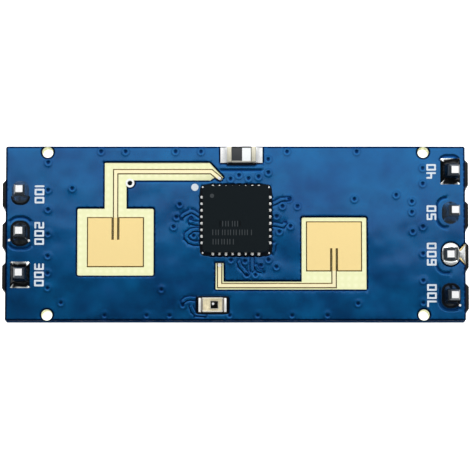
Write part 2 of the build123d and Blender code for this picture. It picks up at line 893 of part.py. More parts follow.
os.makedirs("parts", exist_ok=True)
save_board()
save_headers()
save_top_parts()
save_bottom_parts()
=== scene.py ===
"""Looks of a small radar sensor module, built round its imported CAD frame.

Lengths in this script are millimetres, and mm() turns them into Blender's metres.
"""

import math

import bmesh
import bpy
from mathutils import Matrix, Vector, noise
from mathutils.bvhtree import BVHTree
from mathutils.geometry import delaunay_2d_cdt


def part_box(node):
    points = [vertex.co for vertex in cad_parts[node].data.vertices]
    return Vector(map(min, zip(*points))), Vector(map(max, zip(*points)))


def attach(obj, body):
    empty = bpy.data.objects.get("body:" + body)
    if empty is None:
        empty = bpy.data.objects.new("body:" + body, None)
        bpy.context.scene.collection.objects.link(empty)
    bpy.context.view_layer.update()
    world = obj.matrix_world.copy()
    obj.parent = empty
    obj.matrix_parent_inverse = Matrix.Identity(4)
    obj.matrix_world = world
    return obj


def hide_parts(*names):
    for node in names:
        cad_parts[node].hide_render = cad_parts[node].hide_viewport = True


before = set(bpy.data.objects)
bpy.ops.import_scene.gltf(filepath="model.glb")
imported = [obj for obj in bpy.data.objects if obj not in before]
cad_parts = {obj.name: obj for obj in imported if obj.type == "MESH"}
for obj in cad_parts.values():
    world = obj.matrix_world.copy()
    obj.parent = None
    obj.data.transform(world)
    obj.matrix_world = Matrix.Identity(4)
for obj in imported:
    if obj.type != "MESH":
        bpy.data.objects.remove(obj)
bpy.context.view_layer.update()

# Levels of the board, as in the frame
BOARD_TOP = 9.74
BOARD_BOTTOM = 8.54
LAMINATE_TOP = 9.69
LAMINATE_BOTTOM = 8.59
LACQUER_THICKNESS = 0.05
BOARD_HALF = (14.0, 5.35)

# Pins and their holes. A pad is half its width, half its length and its corners' radius, and a
# lean says how far off its foot a right pin's tip is.
PIN_PITCH = 2.54
PIN_HALF = 0.32
PIN_ROW_X = 13.1
PIN_ABOVE = 1.55
HOLE_RADIUS = 0.46
ROUND_PAD = (0.525, 0.685, 0.505)
SQUARE_PAD = (0.605, 0.805, 0.1)
LEFT_PIN_Y = [PIN_PITCH * (1 - i) for i in range(3)]
RIGHT_PIN_Y = [PIN_PITCH * (1.5 - i) for i in range(4)]
RIGHT_PIN_LEANS = [(0.21, -0.1), (0.21, 0.0), (-0.08, -0.17), (0.17, -0.1)]

# Small parts on top
SENSOR_CENTER = (-1.39, -4.39)
SENSOR_HALF = (0.85, 0.425)
DIODE_SPAN = (-0.51, 1.25)
DIODE_FRONT = 4.34
TEST_POINT = (-6.43, 3.1)

# Radar chip
CHIP_CENTER = (0.03, 0.81)
CHIP_HALF = 2.02
CHIP_HEIGHT = 0.75
LEADS_PER_SIDE = 8
LEAD_PITCH = 0.4

# Corners of a mesh closer than the first number count as one, or as level with each other, and
# a shape's foot is all that lies within the second above its lowest corner
SAME_SPOT = 0.0005
SAME_FOOT = 0.001

# Angles in degrees: faces that meet flatter than the first count as one, and edges sharper than
# the second are the ones to ease
FLAT_ANGLE = 1
SHARP_ANGLE = 30


def mm(*lengths):
    """A point or a single length, from millimetres to metres."""
    scaled = [0.001 * length for length in lengths]
    return scaled[0] if len(scaled) == 1 else Vector(scaled)


def linear(hex_colour):
    """An sRGB hex colour as linear red, green, blue and alpha."""
    parts = [int(hex_colour[i : i + 2], 16) / 255 for i in (1, 3, 5)]
    return [p / 12.92 if p <= 0.04045 else ((p + 0.055) / 1.055) ** 2.4 for p in parts] + [1.0]


def add(tree, kind, settings=(), links=()):
    """Adds a node: settings are its properties and input values, links the sources of its inputs.

    A source is a socket, or a node for its first output.
    """
    node = tree.nodes.new(kind)
    for key, value in dict(settings).items():
        if isinstance(key, str) and hasattr(node, key):
            setattr(node, key, value)
        else:
            node.inputs[key].default_value = value
    for key, source in dict(links).items():
        tree.links.new(getattr(source, "outputs", [source])[0], node.inputs[key])
    return node


def placed(name, data):
    """Puts a mesh, a light or a camera in the scene as an object."""
    made = bpy.data.objects.new(name, data)
    bpy.context.scene.collection.objects.link(made)
    return made


def new_material(name, **surface):
    """A material with one Principled surface and object coordinates."""
    material = bpy.data.materials.new(name)
    material.use_nodes = True
    tree = material.node_tree
    tree.nodes.clear()
    shader = add(tree, "ShaderNodeBsdfPrincipled", {k.replace("_", " "): v for k, v in surface.items()})
    add(tree, "ShaderNodeOutputMaterial", links={"Surface": shader.outputs["BSDF"]})
    add(tree, "ShaderNodeTexCoord")
    return material


def parts_of(material):
    """The node tree of a material, its shader and the socket of its object coordinates."""
    tree = material.node_tree
    shader = next(n for n in tree.nodes if n.type == "BSDF_PRINCIPLED")
    place = next(n for n in tree.nodes if n.type == "TEX_COORD").outputs["Object"]
    return tree, shader, place


def tinted(material, value, limits, colour):
    """Blends a material's colour into another while a value passes the limits.

    value is a node or a socket, and colour an sRGB hex colour or a socket.
    """
    tree, shader, _ = parts_of(material)
    base = shader.inputs["Base Color"]
    share = add(
        tree, "ShaderNodeMapRange", {"From Min": limits[0], "From Max": limits[1]}, {"Value": value}
    )
    blend = add(tree, "ShaderNodeMix", {"data_type": "RGBA", 6: list(base.default_value)}, {0: share})
    if base.is_linked:
        tree.links.new(base.links[0].from_socket, blend.inputs[6])
    if isinstance(colour, str):
        blend.inputs[7].default_value = linear(colour)
    else:
        tree.links.new(colour, blend.inputs[7])
    tree.links.new(blend.outputs[2], base)


# A grain's finer layers fade by the first number, and its values mostly lie within the span
GRAIN_FADE = 0.6
GRAIN_SPAN = (0.3, 0.7)


def mottled(
    name, light, dark, grain, roughness, relief, stretch=(1, 1, 1), detail=4.0, even=0.5, **surface
):
    """A material whose colour, roughness and surface follow a grain of a size in millimetres.

    roughness is its lowest and highest value, relief the grain's height in millimetres, stretch
    the scale of its coordinates, detail the number of its finer layers, and even how far from the
    middle the grain must be for the full light or dark colour.
    """
    material = new_material(name, Base_Color=linear(dark), **surface)
    tree, shader, place = parts_of(material)
    laid = add(tree, "ShaderNodeMapping", {"Scale": stretch}, {"Vector": place})
    layers = {"Scale": 1 / mm(grain), "Detail": detail, "Roughness": GRAIN_FADE}
    grains = add(tree, "ShaderNodeTexNoise", layers, {"Vector": laid})
    spans = dict(zip(("From Min", "From Max", "To Min", "To Max"), (*GRAIN_SPAN, *roughness)))
    gloss = add(tree, "ShaderNodeMapRange", spans, {"Value": grains})
    bump = add(tree, "ShaderNodeBump", {"Strength": 1.0, "Distance": mm(relief)}, {"Height": grains})
    tinted(material, grains, (0.5 - even, 0.5 + even), light)
    tree.links.new(gloss.outputs["Result"], shader.inputs["Roughness"])
    tree.links.new(bump.outputs["Normal"], shader.inputs["Normal"])
    return material


def stained(material, axis, middle, limits, hex_colour):
    """Tints a material where the distance from middle along an axis passes limits, in millimetres."""
    tree, _, place = parts_of(material)
    spot = add(tree, "ShaderNodeSeparateXYZ", links={"Vector": place})
    along = add(tree, "ShaderNodeMath", {"operation": "SUBTRACT", 1: mm(middle)}, {0: spot.outputs[axis]})
    away = add(tree, "ShaderNodeMath", {"operation": "ABSOLUTE"}, {0: along})
    tinted(material, away, [mm(limit) for limit in limits], hex_colour)


def facing_up(tree, normal="Normal", either_way=False):
    """A socket that is 1 where the surface faces up and 0 on a wall; either_way counts down as up."""
    facing = add(tree, "ShaderNodeNewGeometry")
    upright = add(tree, "ShaderNodeSeparateXYZ", links={"Vector": facing.outputs[normal]})
    if not either_way:
        return upright.outputs["Z"]
    return add(tree, "ShaderNodeMath", {"operation": "ABSOLUTE"}, {0: upright.outputs["Z"]}).outputs[0]


# Solder mask: blue liquid lacquer flooded over the copper and cured. The copper below shines through it, so
# it looks like blue metal under a thin clear gloss, and darker where it is bare. The same darkening is also
# painted shade along the windows' rims and round the radar chip and the light sensor, and a painted shadow
# under the diode's front.
solder_mask = mottled(
    "blue_solder_mask_over_copper", light="#04639e", dark="#004a84", grain=2.2,
    roughness=(0.2, 0.26), relief=0.0006,
    detail=3.0, even=0.2, Metallic=0.88, Specular_IOR_Level=0.1, Coat_Roughness=0.1,
)
mask_tree, mask_shader, _ = parts_of(solder_mask)
# The lacquer is painted darker by this share: where the copper below is bare, and as painted shade at the
# rims and round the parts
bare_and_shade_share = add(mask_tree, "ShaderNodeAttribute", {"attribute_name": "bare"}).outputs["Fac"]
tinted(solder_mask, bare_and_shade_share, (0.0, 0.7), "#073067")
tinted(solder_mask, bare_and_shade_share, (0.6, 1.0), "#03132c")
mask_gloss = add(
    mask_tree,
    "ShaderNodeMapRange",
    {"From Max": 0.6, "To Min": 0.45, "To Max": 0.03},
    {"Value": bare_and_shade_share},
)
mask_tree.links.new(mask_gloss.outputs["Result"], mask_shader.inputs["Coat Weight"])

# FR4: woven glass in epoxy, etched bare. It looks like pale cream plastic with a faint weave, and its sawn
# sides are coloured dark navy with faint plies.
YARN_PITCH = 0.42
PLY_PITCH = 0.18
SAWN_FROM = {"X": BOARD_HALF[0] - 0.2, "Y": BOARD_HALF[1] - 0.01}
fr4 = new_material("fr4_woven_glass_epoxy", Base_Color=linear("#eeefbc"), Roughness=0.42, IOR=1.55)
fr4_tree, fr4_shader, fr4_place = parts_of(fr4)
yarns = {"Scale": math.pi / (10 * mm(YARN_PITCH)), "Distortion": 2.2, "Detail": 3.0, "Detail Scale": 1.1}
weave = [
    add(fr4_tree, "ShaderNodeTexWave", {"bands_direction": way, **yarns}, {"Vector": fr4_place})
    for way in ("X", "Y")
]
crossing = add(
    fr4_tree,
    "ShaderNodeMath",
    {"operation": "MULTIPLY"},
    {i: yarn.outputs["Fac"] for i, yarn in enumerate(weave)},
)
tinted(fr4, crossing, (0.0, 1.0), "#f5f5c8")
plies = add(
    fr4_tree,
    "ShaderNodeTexWave",
    {"bands_direction": "Z", "Scale": math.pi / (10 * mm(PLY_PITCH)), "Distortion": 1.2, "Detail": 3.0},
    {"Vector": fr4_place},
)
sawn = add(
    fr4_tree,
    "ShaderNodeMix",
    {"data_type": "RGBA", 6: linear("#081c34"), 7: linear("#12304e")},
    {"Factor": plies.outputs["Fac"]},
)
flat = facing_up(fr4_tree, either_way=True)
spot = add(fr4_tree, "ShaderNodeSeparateXYZ", links={"Vector": fr4_place})
within = []
for axis, limit in SAWN_FROM.items():
    away = add(fr4_tree, "ShaderNodeMath", {"operation": "ABSOLUTE"}, {0: spot.outputs[axis]})
    near = add(fr4_tree, "ShaderNodeMath", {"operation": "LESS_THAN", 1: mm(limit)}, {0: away})
    within.append(near)
inside = add(fr4_tree, "ShaderNodeMath", {"operation": "MULTIPLY"}, dict(enumerate(within)))
pale = add(fr4_tree, "ShaderNodeMath", {"operation": "MAXIMUM"}, {0: flat, 1: inside})
tinted(fr4, pale, (1.0, 0.0), sawn.outputs[2])
weave_bump = add(
    fr4_tree, "ShaderNodeBump", {"Strength": 0.6, "Distance": mm(0.004)}, {"Height": crossing}
)
board_shine = add(fr4_tree, "ShaderNodeMath", {"operation": "MULTIPLY", 1: 0.5}, {0: pale})
fr4_tree.links.new(board_shine.outputs[0], fr4_shader.inputs["Specular IOR Level"])
fr4_tree.links.new(weave_bump.outputs["Normal"], fr4_shader.inputs["Normal"])

# Immersion gold: a thin gold skin on nickel on etched copper. It looks satin and warm, with
# a fine grain from the copper.
immersion_gold = mottled(
    "immersion_gold_on_copper", light="#ffe9aa", dark="#fbe09c", grain=0.12,
    roughness=(0.5, 0.6), relief=0.0015, Metallic=1.0,
)

# The narrow feeds are painted paler, a painted highlight. They lie past the patches in Y, and the right one
# starts in a strip of its own in X. The copper's etched flanks lean outwards and are painted dark brown by
# the way they face, painted shade that outlines each shape.
FEED_HIGHLIGHT = "#fff6cd"
PATCHES_Y = -0.66
PAST_PATCHES = (1.625, 1.635)
RIGHT_FEED_X = -0.96
WITHIN_FEED = (0.34, 0.3)
# painted highlight: the feeds are painted paler than the patches
stained(immersion_gold, "Y", PATCHES_Y, PAST_PATCHES, FEED_HIGHLIGHT)
stained(immersion_gold, "X", RIGHT_FEED_X, WITHIN_FEED, FEED_HIGHLIGHT)
# painted shade: every face of the copper that doesn't face up or down is painted dark brown
gold_flat = facing_up(immersion_gold.node_tree, "True Normal", either_way=True)
tinted(immersion_gold, gold_flat, (0.99, 0.9), "#5d4516")

# Epoxy ink: screen printed and baked. It looks matt and a little uneven.
screen_ink = mottled(
    "white_epoxy_ink", light="#e9eef4", dark="#c4ced9", grain=0.07,
    roughness=(0.5, 0.7), relief=0.006,
)

# PBT: glass-filled, injection moulded. It looks black with a fine spark-eroded grain.
moulded_pbt = mottled(
    "black_pbt_moulded", light="#131416", dark="#08090b", grain=0.09,
    roughness=(0.38, 0.6), relief=0.004, Specular_IOR_Level=0.3,
)

# Tinned brass: drawn square wire, plated bright and sheared. Its sides look like soft silver with draw
# lines; above the board they are painted dark, painted shade, and its sheared upper end is painted white, a
# painted highlight.
tinned_pin = mottled(
    "bright_tin_on_drawn_brass", light="#bcc0c2", dark="#969b9e", grain=0.05,
    roughness=(0.3, 0.42), relief=0.001, stretch=(1, 1, 0.04), Metallic=0.45,
)
# painted shade on the pin's sides above the board
stained(tinned_pin, "Z", 0.0, (BOARD_BOTTOM, BOARD_TOP), "#43484b")
# painted highlight: whatever faces up is painted white
tinted(tinned_pin, facing_up(tinned_pin.node_tree, "True Normal"), (0.8, 0.95), "#ffffff")

# Tin solder: melted and frozen. It looks like a mirror with a slight ripple, bright where it lies flat; its
# slopes are painted dark grey to almost black where it climbs the pin, painted shade and reflection, darker
# on some joints than on others.
bright_solder = mottled(
    "bright_tin_solder", light="#f4f5f3", dark="#d2d5d4", grain=0.35,
    roughness=(0.14, 0.26), relief=0.006, detail=3.0, Metallic=0.7,
)
solder_tree = bright_solder.node_tree
painted_slope_shade = add(solder_tree, "ShaderNodeAttribute", {"attribute_name": "flux"})
slope_colour = add(
    solder_tree,
    "ShaderNodeMix",
    {"data_type": "RGBA", 6: linear("#6a7072"), 7: linear("#0c0f11")},
    {"Factor": painted_slope_shade.outputs["Fac"]},
)
# painted shade: slopes that climb the pin are painted dark, by each joint's share
tinted(bright_solder, facing_up(solder_tree), (0.93, 0.84), slope_colour.outputs[2])

# Reflowed paste: melted under the small parts, with a thin clear film of flux. It looks white.
reflowed_solder = mottled(
    "washed_reflow_solder", light="#ffffff", dark="#e9ebea", grain=0.08,
    roughness=(0.25, 0.4), relief=0.002, Metallic=0.15, Coat_Weight=0.8, Coat_Roughness=0.2,
)

# Flux: boiled off the solder paste and set hard. It looks like a black glaze, and as a film round the parts
# it is also painted shade.
flux_and_shade = mottled(
    "set_flux_and_painted_shade", light="#0a1018", dark="#05080e", grain=0.1,
    roughness=(0.4, 0.6), relief=0.002, Specular_IOR_Level=0.1,
)

# Matt tin: plated on terminals. It looks pale grey and soft.
matt_tin = mottled(
    "matt_tin_plating", light="#e4e0cf", dark="#c0bba5", grain=0.06,
    roughness=(0.32, 0.5), relief=0.003, Metallic=0.5,
)

# Epoxy mould compound: filled with silica and moulded round the chip. It looks near black and
# speckled.
mould_compound = mottled(
    "black_epoxy_mould_compound", light="#10191d", dark="#0b1216", grain=0.05,
    roughness=(0.45, 0.6), relief=0.003, Specular_IOR_Level=0.08,
)

# Laser marks: the mould compound's skin burnt away. They look dull grey.
laser_mark = mottled(
    "laser_burnt_mould_compound", light="#30383c", dark="#1c2226", grain=0.04,
    roughness=(0.6, 0.8), relief=0.003,
)

# Diode body: moulded epoxy. It looks dark grey and a little glossy.
diode_epoxy = mottled(
    "grey_epoxy_moulded", light="#3c3f42", dark="#303336", grain=0.06,
    roughness=(0.35, 0.5), relief=0.003, Specular_IOR_Level=0.3,
)

# Polarity band: marking paint. It looks clean white.
marking_paint = mottled(
    "white_marking_paint", light="#fbfdfd", dark="#e6ecec", grain=0.08,
    roughness=(0.4, 0.55), relief=0.002,
)

# Body and band alike are painted dark along the diode's back edge, painted shade, and pale along its front
# one, a painted highlight
DIODE_BACK = (5.17, 5.2)
for diode_finish in (diode_epoxy, marking_paint):
    stained(diode_finish, "Y", 0.0, DIODE_BACK, "#0b0c0e")
    stained(diode_finish, "Y", 0.0, (DIODE_FRONT + 0.06, DIODE_FRONT + 0.04), "#c9c7ba")

# BT laminate: the light sensor's white base, with painted brown shade beside its metal ends. It looks cream
# and slightly grained.
SHADE_BROWN = "#54431f"
sensor_base_resin = mottled(
    "cream_bt_laminate", light="#fff3d2", dark="#dccfa8", grain=0.3,
    roughness=(0.45, 0.6), relief=0.002, even=0.2,
)
stained(sensor_base_resin, "X", SENSOR_CENTER[0], (0.56, 0.6), SHADE_BROWN)

# Bright tin: plated on the light sensor's terminals. It looks white, with painted brown shade on its inner
# margin.
sensor_terminal_tin = mottled(
    "bright_tin_with_shaded_margin", light="#ffffff", dark="#efefea", grain=0.08,
    roughness=(0.3, 0.45), relief=0.002, Metallic=0.2,
)
stained(sensor_terminal_tin, "X", SENSOR_CENTER[0], (0.73, 0.69), SHADE_BROWN)

# Silicon: a polished and diced wafer. It looks black and glassy.
polished_silicon = mottled(
    "polished_silicon_die", light="#07080a", dark="#030405", grain=0.04,
    roughness=(0.12, 0.22), relief=0.0005, Specular_IOR_Level=0.03,
)

# Clear epoxy: cast over the die and sawn. It looks like a thin layer of water; its upright sides are
# painted nearly opaque white, a painted highlight on its rims.
clear_epoxy = mottled(
    "clear_cast_epoxy", light="#ffffff", dark="#fbf8ee", grain=0.3,
    roughness=(0.02, 0.06), relief=0.001, IOR=1.5,
)
clear_tree, clear_shader, _ = parts_of(clear_epoxy)
# painted highlight: faces that don't face up or down turn nearly opaque white
clear_share = add(
    clear_tree,
    "ShaderNodeMapRange",
    {"From Min": 0.85, "From Max": 0.99, "To Min": 0.85, "To Max": 0.004},
    {"Value": facing_up(clear_tree, either_way=True)},
)
clear_tree.links.new(clear_share.outputs["Result"], clear_shader.inputs["Alpha"])

# Capacitor ceramic: pressed and fired titanate. It looks brown and dense.
fired_titanate = mottled(
    "brown_fired_titanate", light="#a9805c", dark="#8a6343", grain=0.05,
    roughness=(0.3, 0.45), relief=0.002,
)

# Resistor overglaze: printed glass on ceramic. It looks black and shiny.
overglaze = mottled(
    "black_resistor_overglaze", light="#1c1d20", dark="#0d0e10", grain=0.12,
    roughness=(0.15, 0.3), relief=0.003,
)

# Crystal package: fired alumina. It looks dark grey and dry.
fired_alumina = mottled(
    "grey_fired_alumina", light="#8c8577", dark="#6e685c", grain=0.04,
    roughness=(0.5, 0.7), relief=0.002,
)

# Crystal lid: stamped nickel-plated alloy. It looks like brushed silver.
stamped_lid = mottled(
    "nickel_plated_stamped_lid", light="#d8d4ca", dark="#b7b2a6", grain=0.05,
    roughness=(0.25, 0.4), relief=0.001, stretch=(1, 0.08, 1), Metallic=1.0,
)

FINISHES = {
    "laminate": fr4,
    "blue_lacquer": solder_mask,
    "gold_plating": immersion_gold,
    "white_ink": screen_ink,
    "black_plastic": moulded_pbt,
    "pin_metal": tinned_pin,
    "solder": bright_solder,
    "tinned_ends": matt_tin,
    "package_black": mould_compound,
    "diode_grey": diode_epoxy,
    "white_paint": marking_paint,
    "sensor_white": sensor_base_resin,
    "silicon": polished_silicon,
    "clear_resin": clear_epoxy,
    "capacitor_brown": fired_titanate,
    "resistor_black": overglaze,
    "crystal_ceramic": fired_alumina,
    "lid_metal": stamped_lid,
}

SLOT_OF = {}
for node_name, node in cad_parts.items():
    slot_name = node.data.materials[0].name
    SLOT_OF[node_name] = slot_name
    for material_slot in node.material_slots:
        material_slot.material = FINISHES[slot_name]

# The test point's ring and the lands at the small parts are tinned, not gold, and the light sensor's solder
# is covered in the black flux, which there also paints the shade at its ends
for tinned_node in ("test_point", "chip_lands", "upper_lands", "lower_lands"):
    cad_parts[tinned_node].material_slots[0].material = reflowed_solder
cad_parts["light_sensor_solder"].material_slots[0].material = flux_and_shade


def piece(name, mesh, slot, *stands_for, material=None):
    """Puts a mesh in the scene as a piece of the object, riding on its one body."""
    made = placed(name, mesh)
    mesh.materials.clear()
    mesh.materials.append(material or FINISHES[slot])
    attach(made, "root")
    if stands_for:
        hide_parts(*stands_for)
    return made


def join_rings(bm, rings):
    """Lays faces between each ring of vertices and the next, all the way round."""
    for lower, upper in zip(rings, rings[1:]):
        for i in range(len(lower)):
            j = (i + 1) % len(lower)
            bm.faces.new((lower[i], lower[j], upper[j], upper[i]))


def closed_rings(bm, rings):
    """Lays faces between rings of vertices and over the first and the last."""
    join_rings(bm, rings)
    bm.faces.new(rings[0])
    bm.faces.new(rings[-1])


def mesh_from(bm, name, crease=35):
    """Turns a bmesh into a mesh that is smooth except along edges sharper than crease degrees."""
    bmesh.ops.recalc_face_normals(bm, faces=bm.faces)
    for face in bm.faces:
        face.smooth = True
    for edge in bm.edges:
        edge.smooth = edge.calc_face_angle(math.pi) < math.radians(crease)
    mesh = bpy.data.meshes.new(name)
    bm.to_mesh(mesh)
    bm.free()
    return mesh


def merged(node_name):
    """A copy of a CAD node's mesh with its doubles merged."""
    bm = bmesh.new()
    bm.from_mesh(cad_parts[node_name].data)
    bmesh.ops.remove_doubles(bm, verts=bm.verts, dist=mm(SAME_SPOT))
    return bm


def eased(name, node_name, width, steps=2, material=None):
    """A CAD node with its sharp edges eased, as moulding, sawing or plating leaves them."""
    bm = merged(node_name)
    bmesh.ops.dissolve_limit(bm, angle_limit=math.radians(FLAT_ANGLE), verts=bm.verts, edges=bm.edges)
    sharp = [e for e in bm.edges if e.calc_face_angle(0) > math.radians(SHARP_ANGLE)]
    bmesh.ops.bevel(
        bm,
        geom=sharp,
        offset=mm(width),
        segments=steps,
        profile=0.5,
        affect="EDGES",
        clamp_overlap=True,
    )
    return piece(name, mesh_from(bm, name), SLOT_OF[node_name], node_name, material=material)


# The lacquer shows the vias, tracks and gaps in the copper below it as low relief. These are the
# tracks under its upper skin, each a line of points.
COVERED_TRACKS = [
    [
        (-2.05, 1.0), (-2.34, 1.19), (-2.58, 1.34), (-2.76, 1.36), (-2.88, 1.28), (-3.13, 1.16),
        (-3.28, 1.01),
    ],
    [(-2.05, 0.6), (-2.46, 0.62), (-2.76, 0.67), (-2.7, 0.88)],
    [(-2.05, 0.21), (-2.4, 0.24), (-2.7, 0.18), (-3.01, -0.07)],
    [(-2.05, -0.59), (-2.52, -0.62), (-2.82, -0.5), (-3.01, -0.28), (-2.95, -0.04), (-2.76, 0.09)],
    [(2.11, 1.78), (2.41, 1.87), (2.78, 2.08), (3.26, 2.11)],
    [(2.11, 0.59), (2.59, 0.52), (2.9, 0.45), (3.02, 0.61)],
    [(2.11, -0.59), (2.35, -0.71), (2.29, -1.14)],
    [(0.22, -1.75), (0.28, -2.0), (0.46, -2.18), (0.71, -2.49)],
    [(1.01, -1.51), (1.01, -2.25)],
    [(1.25, -2.0), (1.38, -2.25), (1.62, -2.31)],
    [(-2.7, -4.45), (-2.58, -4.76), (-2.4, -4.94), (-1.85, -4.98)],
    [(-3.19, -4.15), (-3.01, -4.02), (-2.76, -3.96), (-2.28, -4.02)],
]

# Spacing of the sheet's points on its flat, with every other row shifted by a share of it, along
# its rims and along tracks, how far in from the rims and beside the tracks their rows lie, and the
# rings round a via with their points
GRID = 0.16
GRID_SHIFT = 0.3
RIM_STEP = 0.12
TRACK_STEP = 0.06
RIM_ROWS = (0.04, 0.085, 0.13)
TRACK_ROWS = (0.04, 0.075, 0.105, 0.135, 0.17, 0.21)
VIA_RINGS = ((0.05, 6), (0.09, 10), (0.14, 12), (0.19, 14), (0.25, 16), (0.33, 16))

# A closed outline in the CAD skin that is less than the first number across is a via's dimple, or
# a groove where it is longer in X, and both are shallower than the second. An outline whose middle
# is closer to a pin row than the third is a pad's window, and its rim stays sharp.
VIA_LOOP = 0.2
DIMPLE_REACH = 0.5 * LACQUER_THICKNESS + 0.01
PAD_WINDOW_REACH = 1.0


def sheet_outline(bm, level):
    """The edges round the flat skin at a level, each with the skin's face beside it."""
    flat_faces = {f for f in bm.faces if all(abs(v.co.z - level) < mm(SAME_SPOT) for v in f.verts)}
    rims = []
    for edge in bm.edges:
        inside = [f for f in edge.link_faces if f in flat_faces]
        if len(inside) == 1:
            rims.append((edge, inside[0]))
    return rims


def loops_of(rims):
    """The rim edges in groups that hang together, one group for each closed outline."""
    by_corner = {}
    for rim in rims:
        for v in rim[0].verts:
            by_corner.setdefault(v, []).append(rim)
    left = {rim[0]: rim for rim in rims}
    loops = []
    while left:
        _, first = left.popitem()
        group, queue = [first], [first]
        while queue:
            for v in queue.pop()[0].verts:
                for rim in by_corner[v]:
                    if rim[0] in left:
                        del left[rim[0]]
                        group.append(rim)
                        queue.append(rim)
        loops.append(group)
    return loops


def line_points(path, step):
    """Points along a line of corners, with the unit direction at each."""
    for start, end in zip(path, path[1:]):
        a, b = Vector(start), Vector(end)
        count = max(1, round((b - a).length / step))
        for i in range(count):
            yield a.lerp(b, i / count), (b - a).normalized()


def points_mesh(name, points, edges=()):
    """A mesh of points in millimetres on the plane Z = 0, for the relief to measure from."""
    mesh = bpy.data.meshes.new(name)
    mesh.from_pydata([mm(x, y, 0) for x, y in points], list(edges), [])
    return placed(name, mesh)


def polyline_mesh(name, paths):
    """A mesh of open lines in millimetres."""
    points, edges = [], []
    for path in paths:
        start = len(points)
        points += path
        edges += [(start + i, start + i + 1) for i in range(len(path) - 1)]
    return points_mesh(name, points, edges)


# Each kind of mark in the lacquer: what it is measured from, its reach and height in millimetres, and two
# profiles across it as (share of the reach, value). The first is the lacquer's height as a share of the
# height. The second is how much darker the lacquer is painted where the board below is bare of copper;
# along the soft rims and at the gaps round the radar chip, the light sensor and the diode's front, this
# darkening is painted shade.
MARKS = {
    "Vias": (
        "POINTS",
        0.36,
        0.014,
        [
            (0, 0.0), (0.16, 0.03), (0.28, 0.5), (0.44, 0.92), (0.55, 1.0), (0.7, 0.8), (0.86, 0.6),
            (1, 0.55),
        ],
        [(0, 0.8), (0.22, 0.7), (0.36, 0.0), (0.6, 0.0), (0.75, 0.35), (0.9, 0.0), (1, 0.0)],
    ),
    "Tracks": (
        "EDGES",
        0.26,
        0.015,
        [(0, 1.0), (0.3, 0.95), (0.4, 0.5), (0.5, 0.05), (0.6, 0.1), (0.75, 0.5), (1, 0.6)],
        [(0, 0.0), (0.32, 0.0), (0.42, 0.8), (0.58, 0.8), (0.7, 0.0), (1, 0.0)],
    ),
    "Gaps and Shade": (
        "EDGES",
        0.16,
        0.02,
        [(0, 0.0), (0.3, 0.05), (0.55, 0.6), (0.75, 0.95), (1, 1.0)],
        [(0, 0.62), (0.3, 0.6), (0.6, 0.0), (1, 0.0)],
    ),
    "Rims": (
        "EDGES",
        0.13,
        0.03,
        [(0, 0.0), (0.2, 0.35), (0.5, 0.8), (0.8, 0.98), (1, 1.0)],
        [(0, 1.0), (0.6, 1.0), (0.9, 0.0), (1, 0.0)],
    ),
}

# The lacquer also swells unevenly as a whole, by this height over patches of this size
SWELL_HEIGHT = 0.06
SWELL_SIZE = 2.2


def new_nodes(name, *inputs):
    """A Geometry Nodes tree with a named input for each (name, type), and its inputs' sockets."""
    tree = bpy.data.node_groups.new(name, "GeometryNodeTree")
    for label, kind in (("Geometry", "Geometry"), *inputs):
        tree.interface.new_socket(label, in_out="INPUT", socket_type="NodeSocket" + kind)
    tree.interface.new_socket("Geometry", in_out="OUTPUT", socket_type="NodeSocketGeometry")
    return tree, add(tree, "NodeGroupInput").outputs


def end_nodes(tree, geometry, material):
    """Ends a Geometry Nodes tree: makes its instances real and gives them one material."""
    real = add(tree, "GeometryNodeRealizeInstances", links={0: geometry})
    coated = add(tree, "GeometryNodeSetMaterial", links={"Geometry": real, "Material": material})
    add(tree, "NodeGroupOutput", links={0: coated})


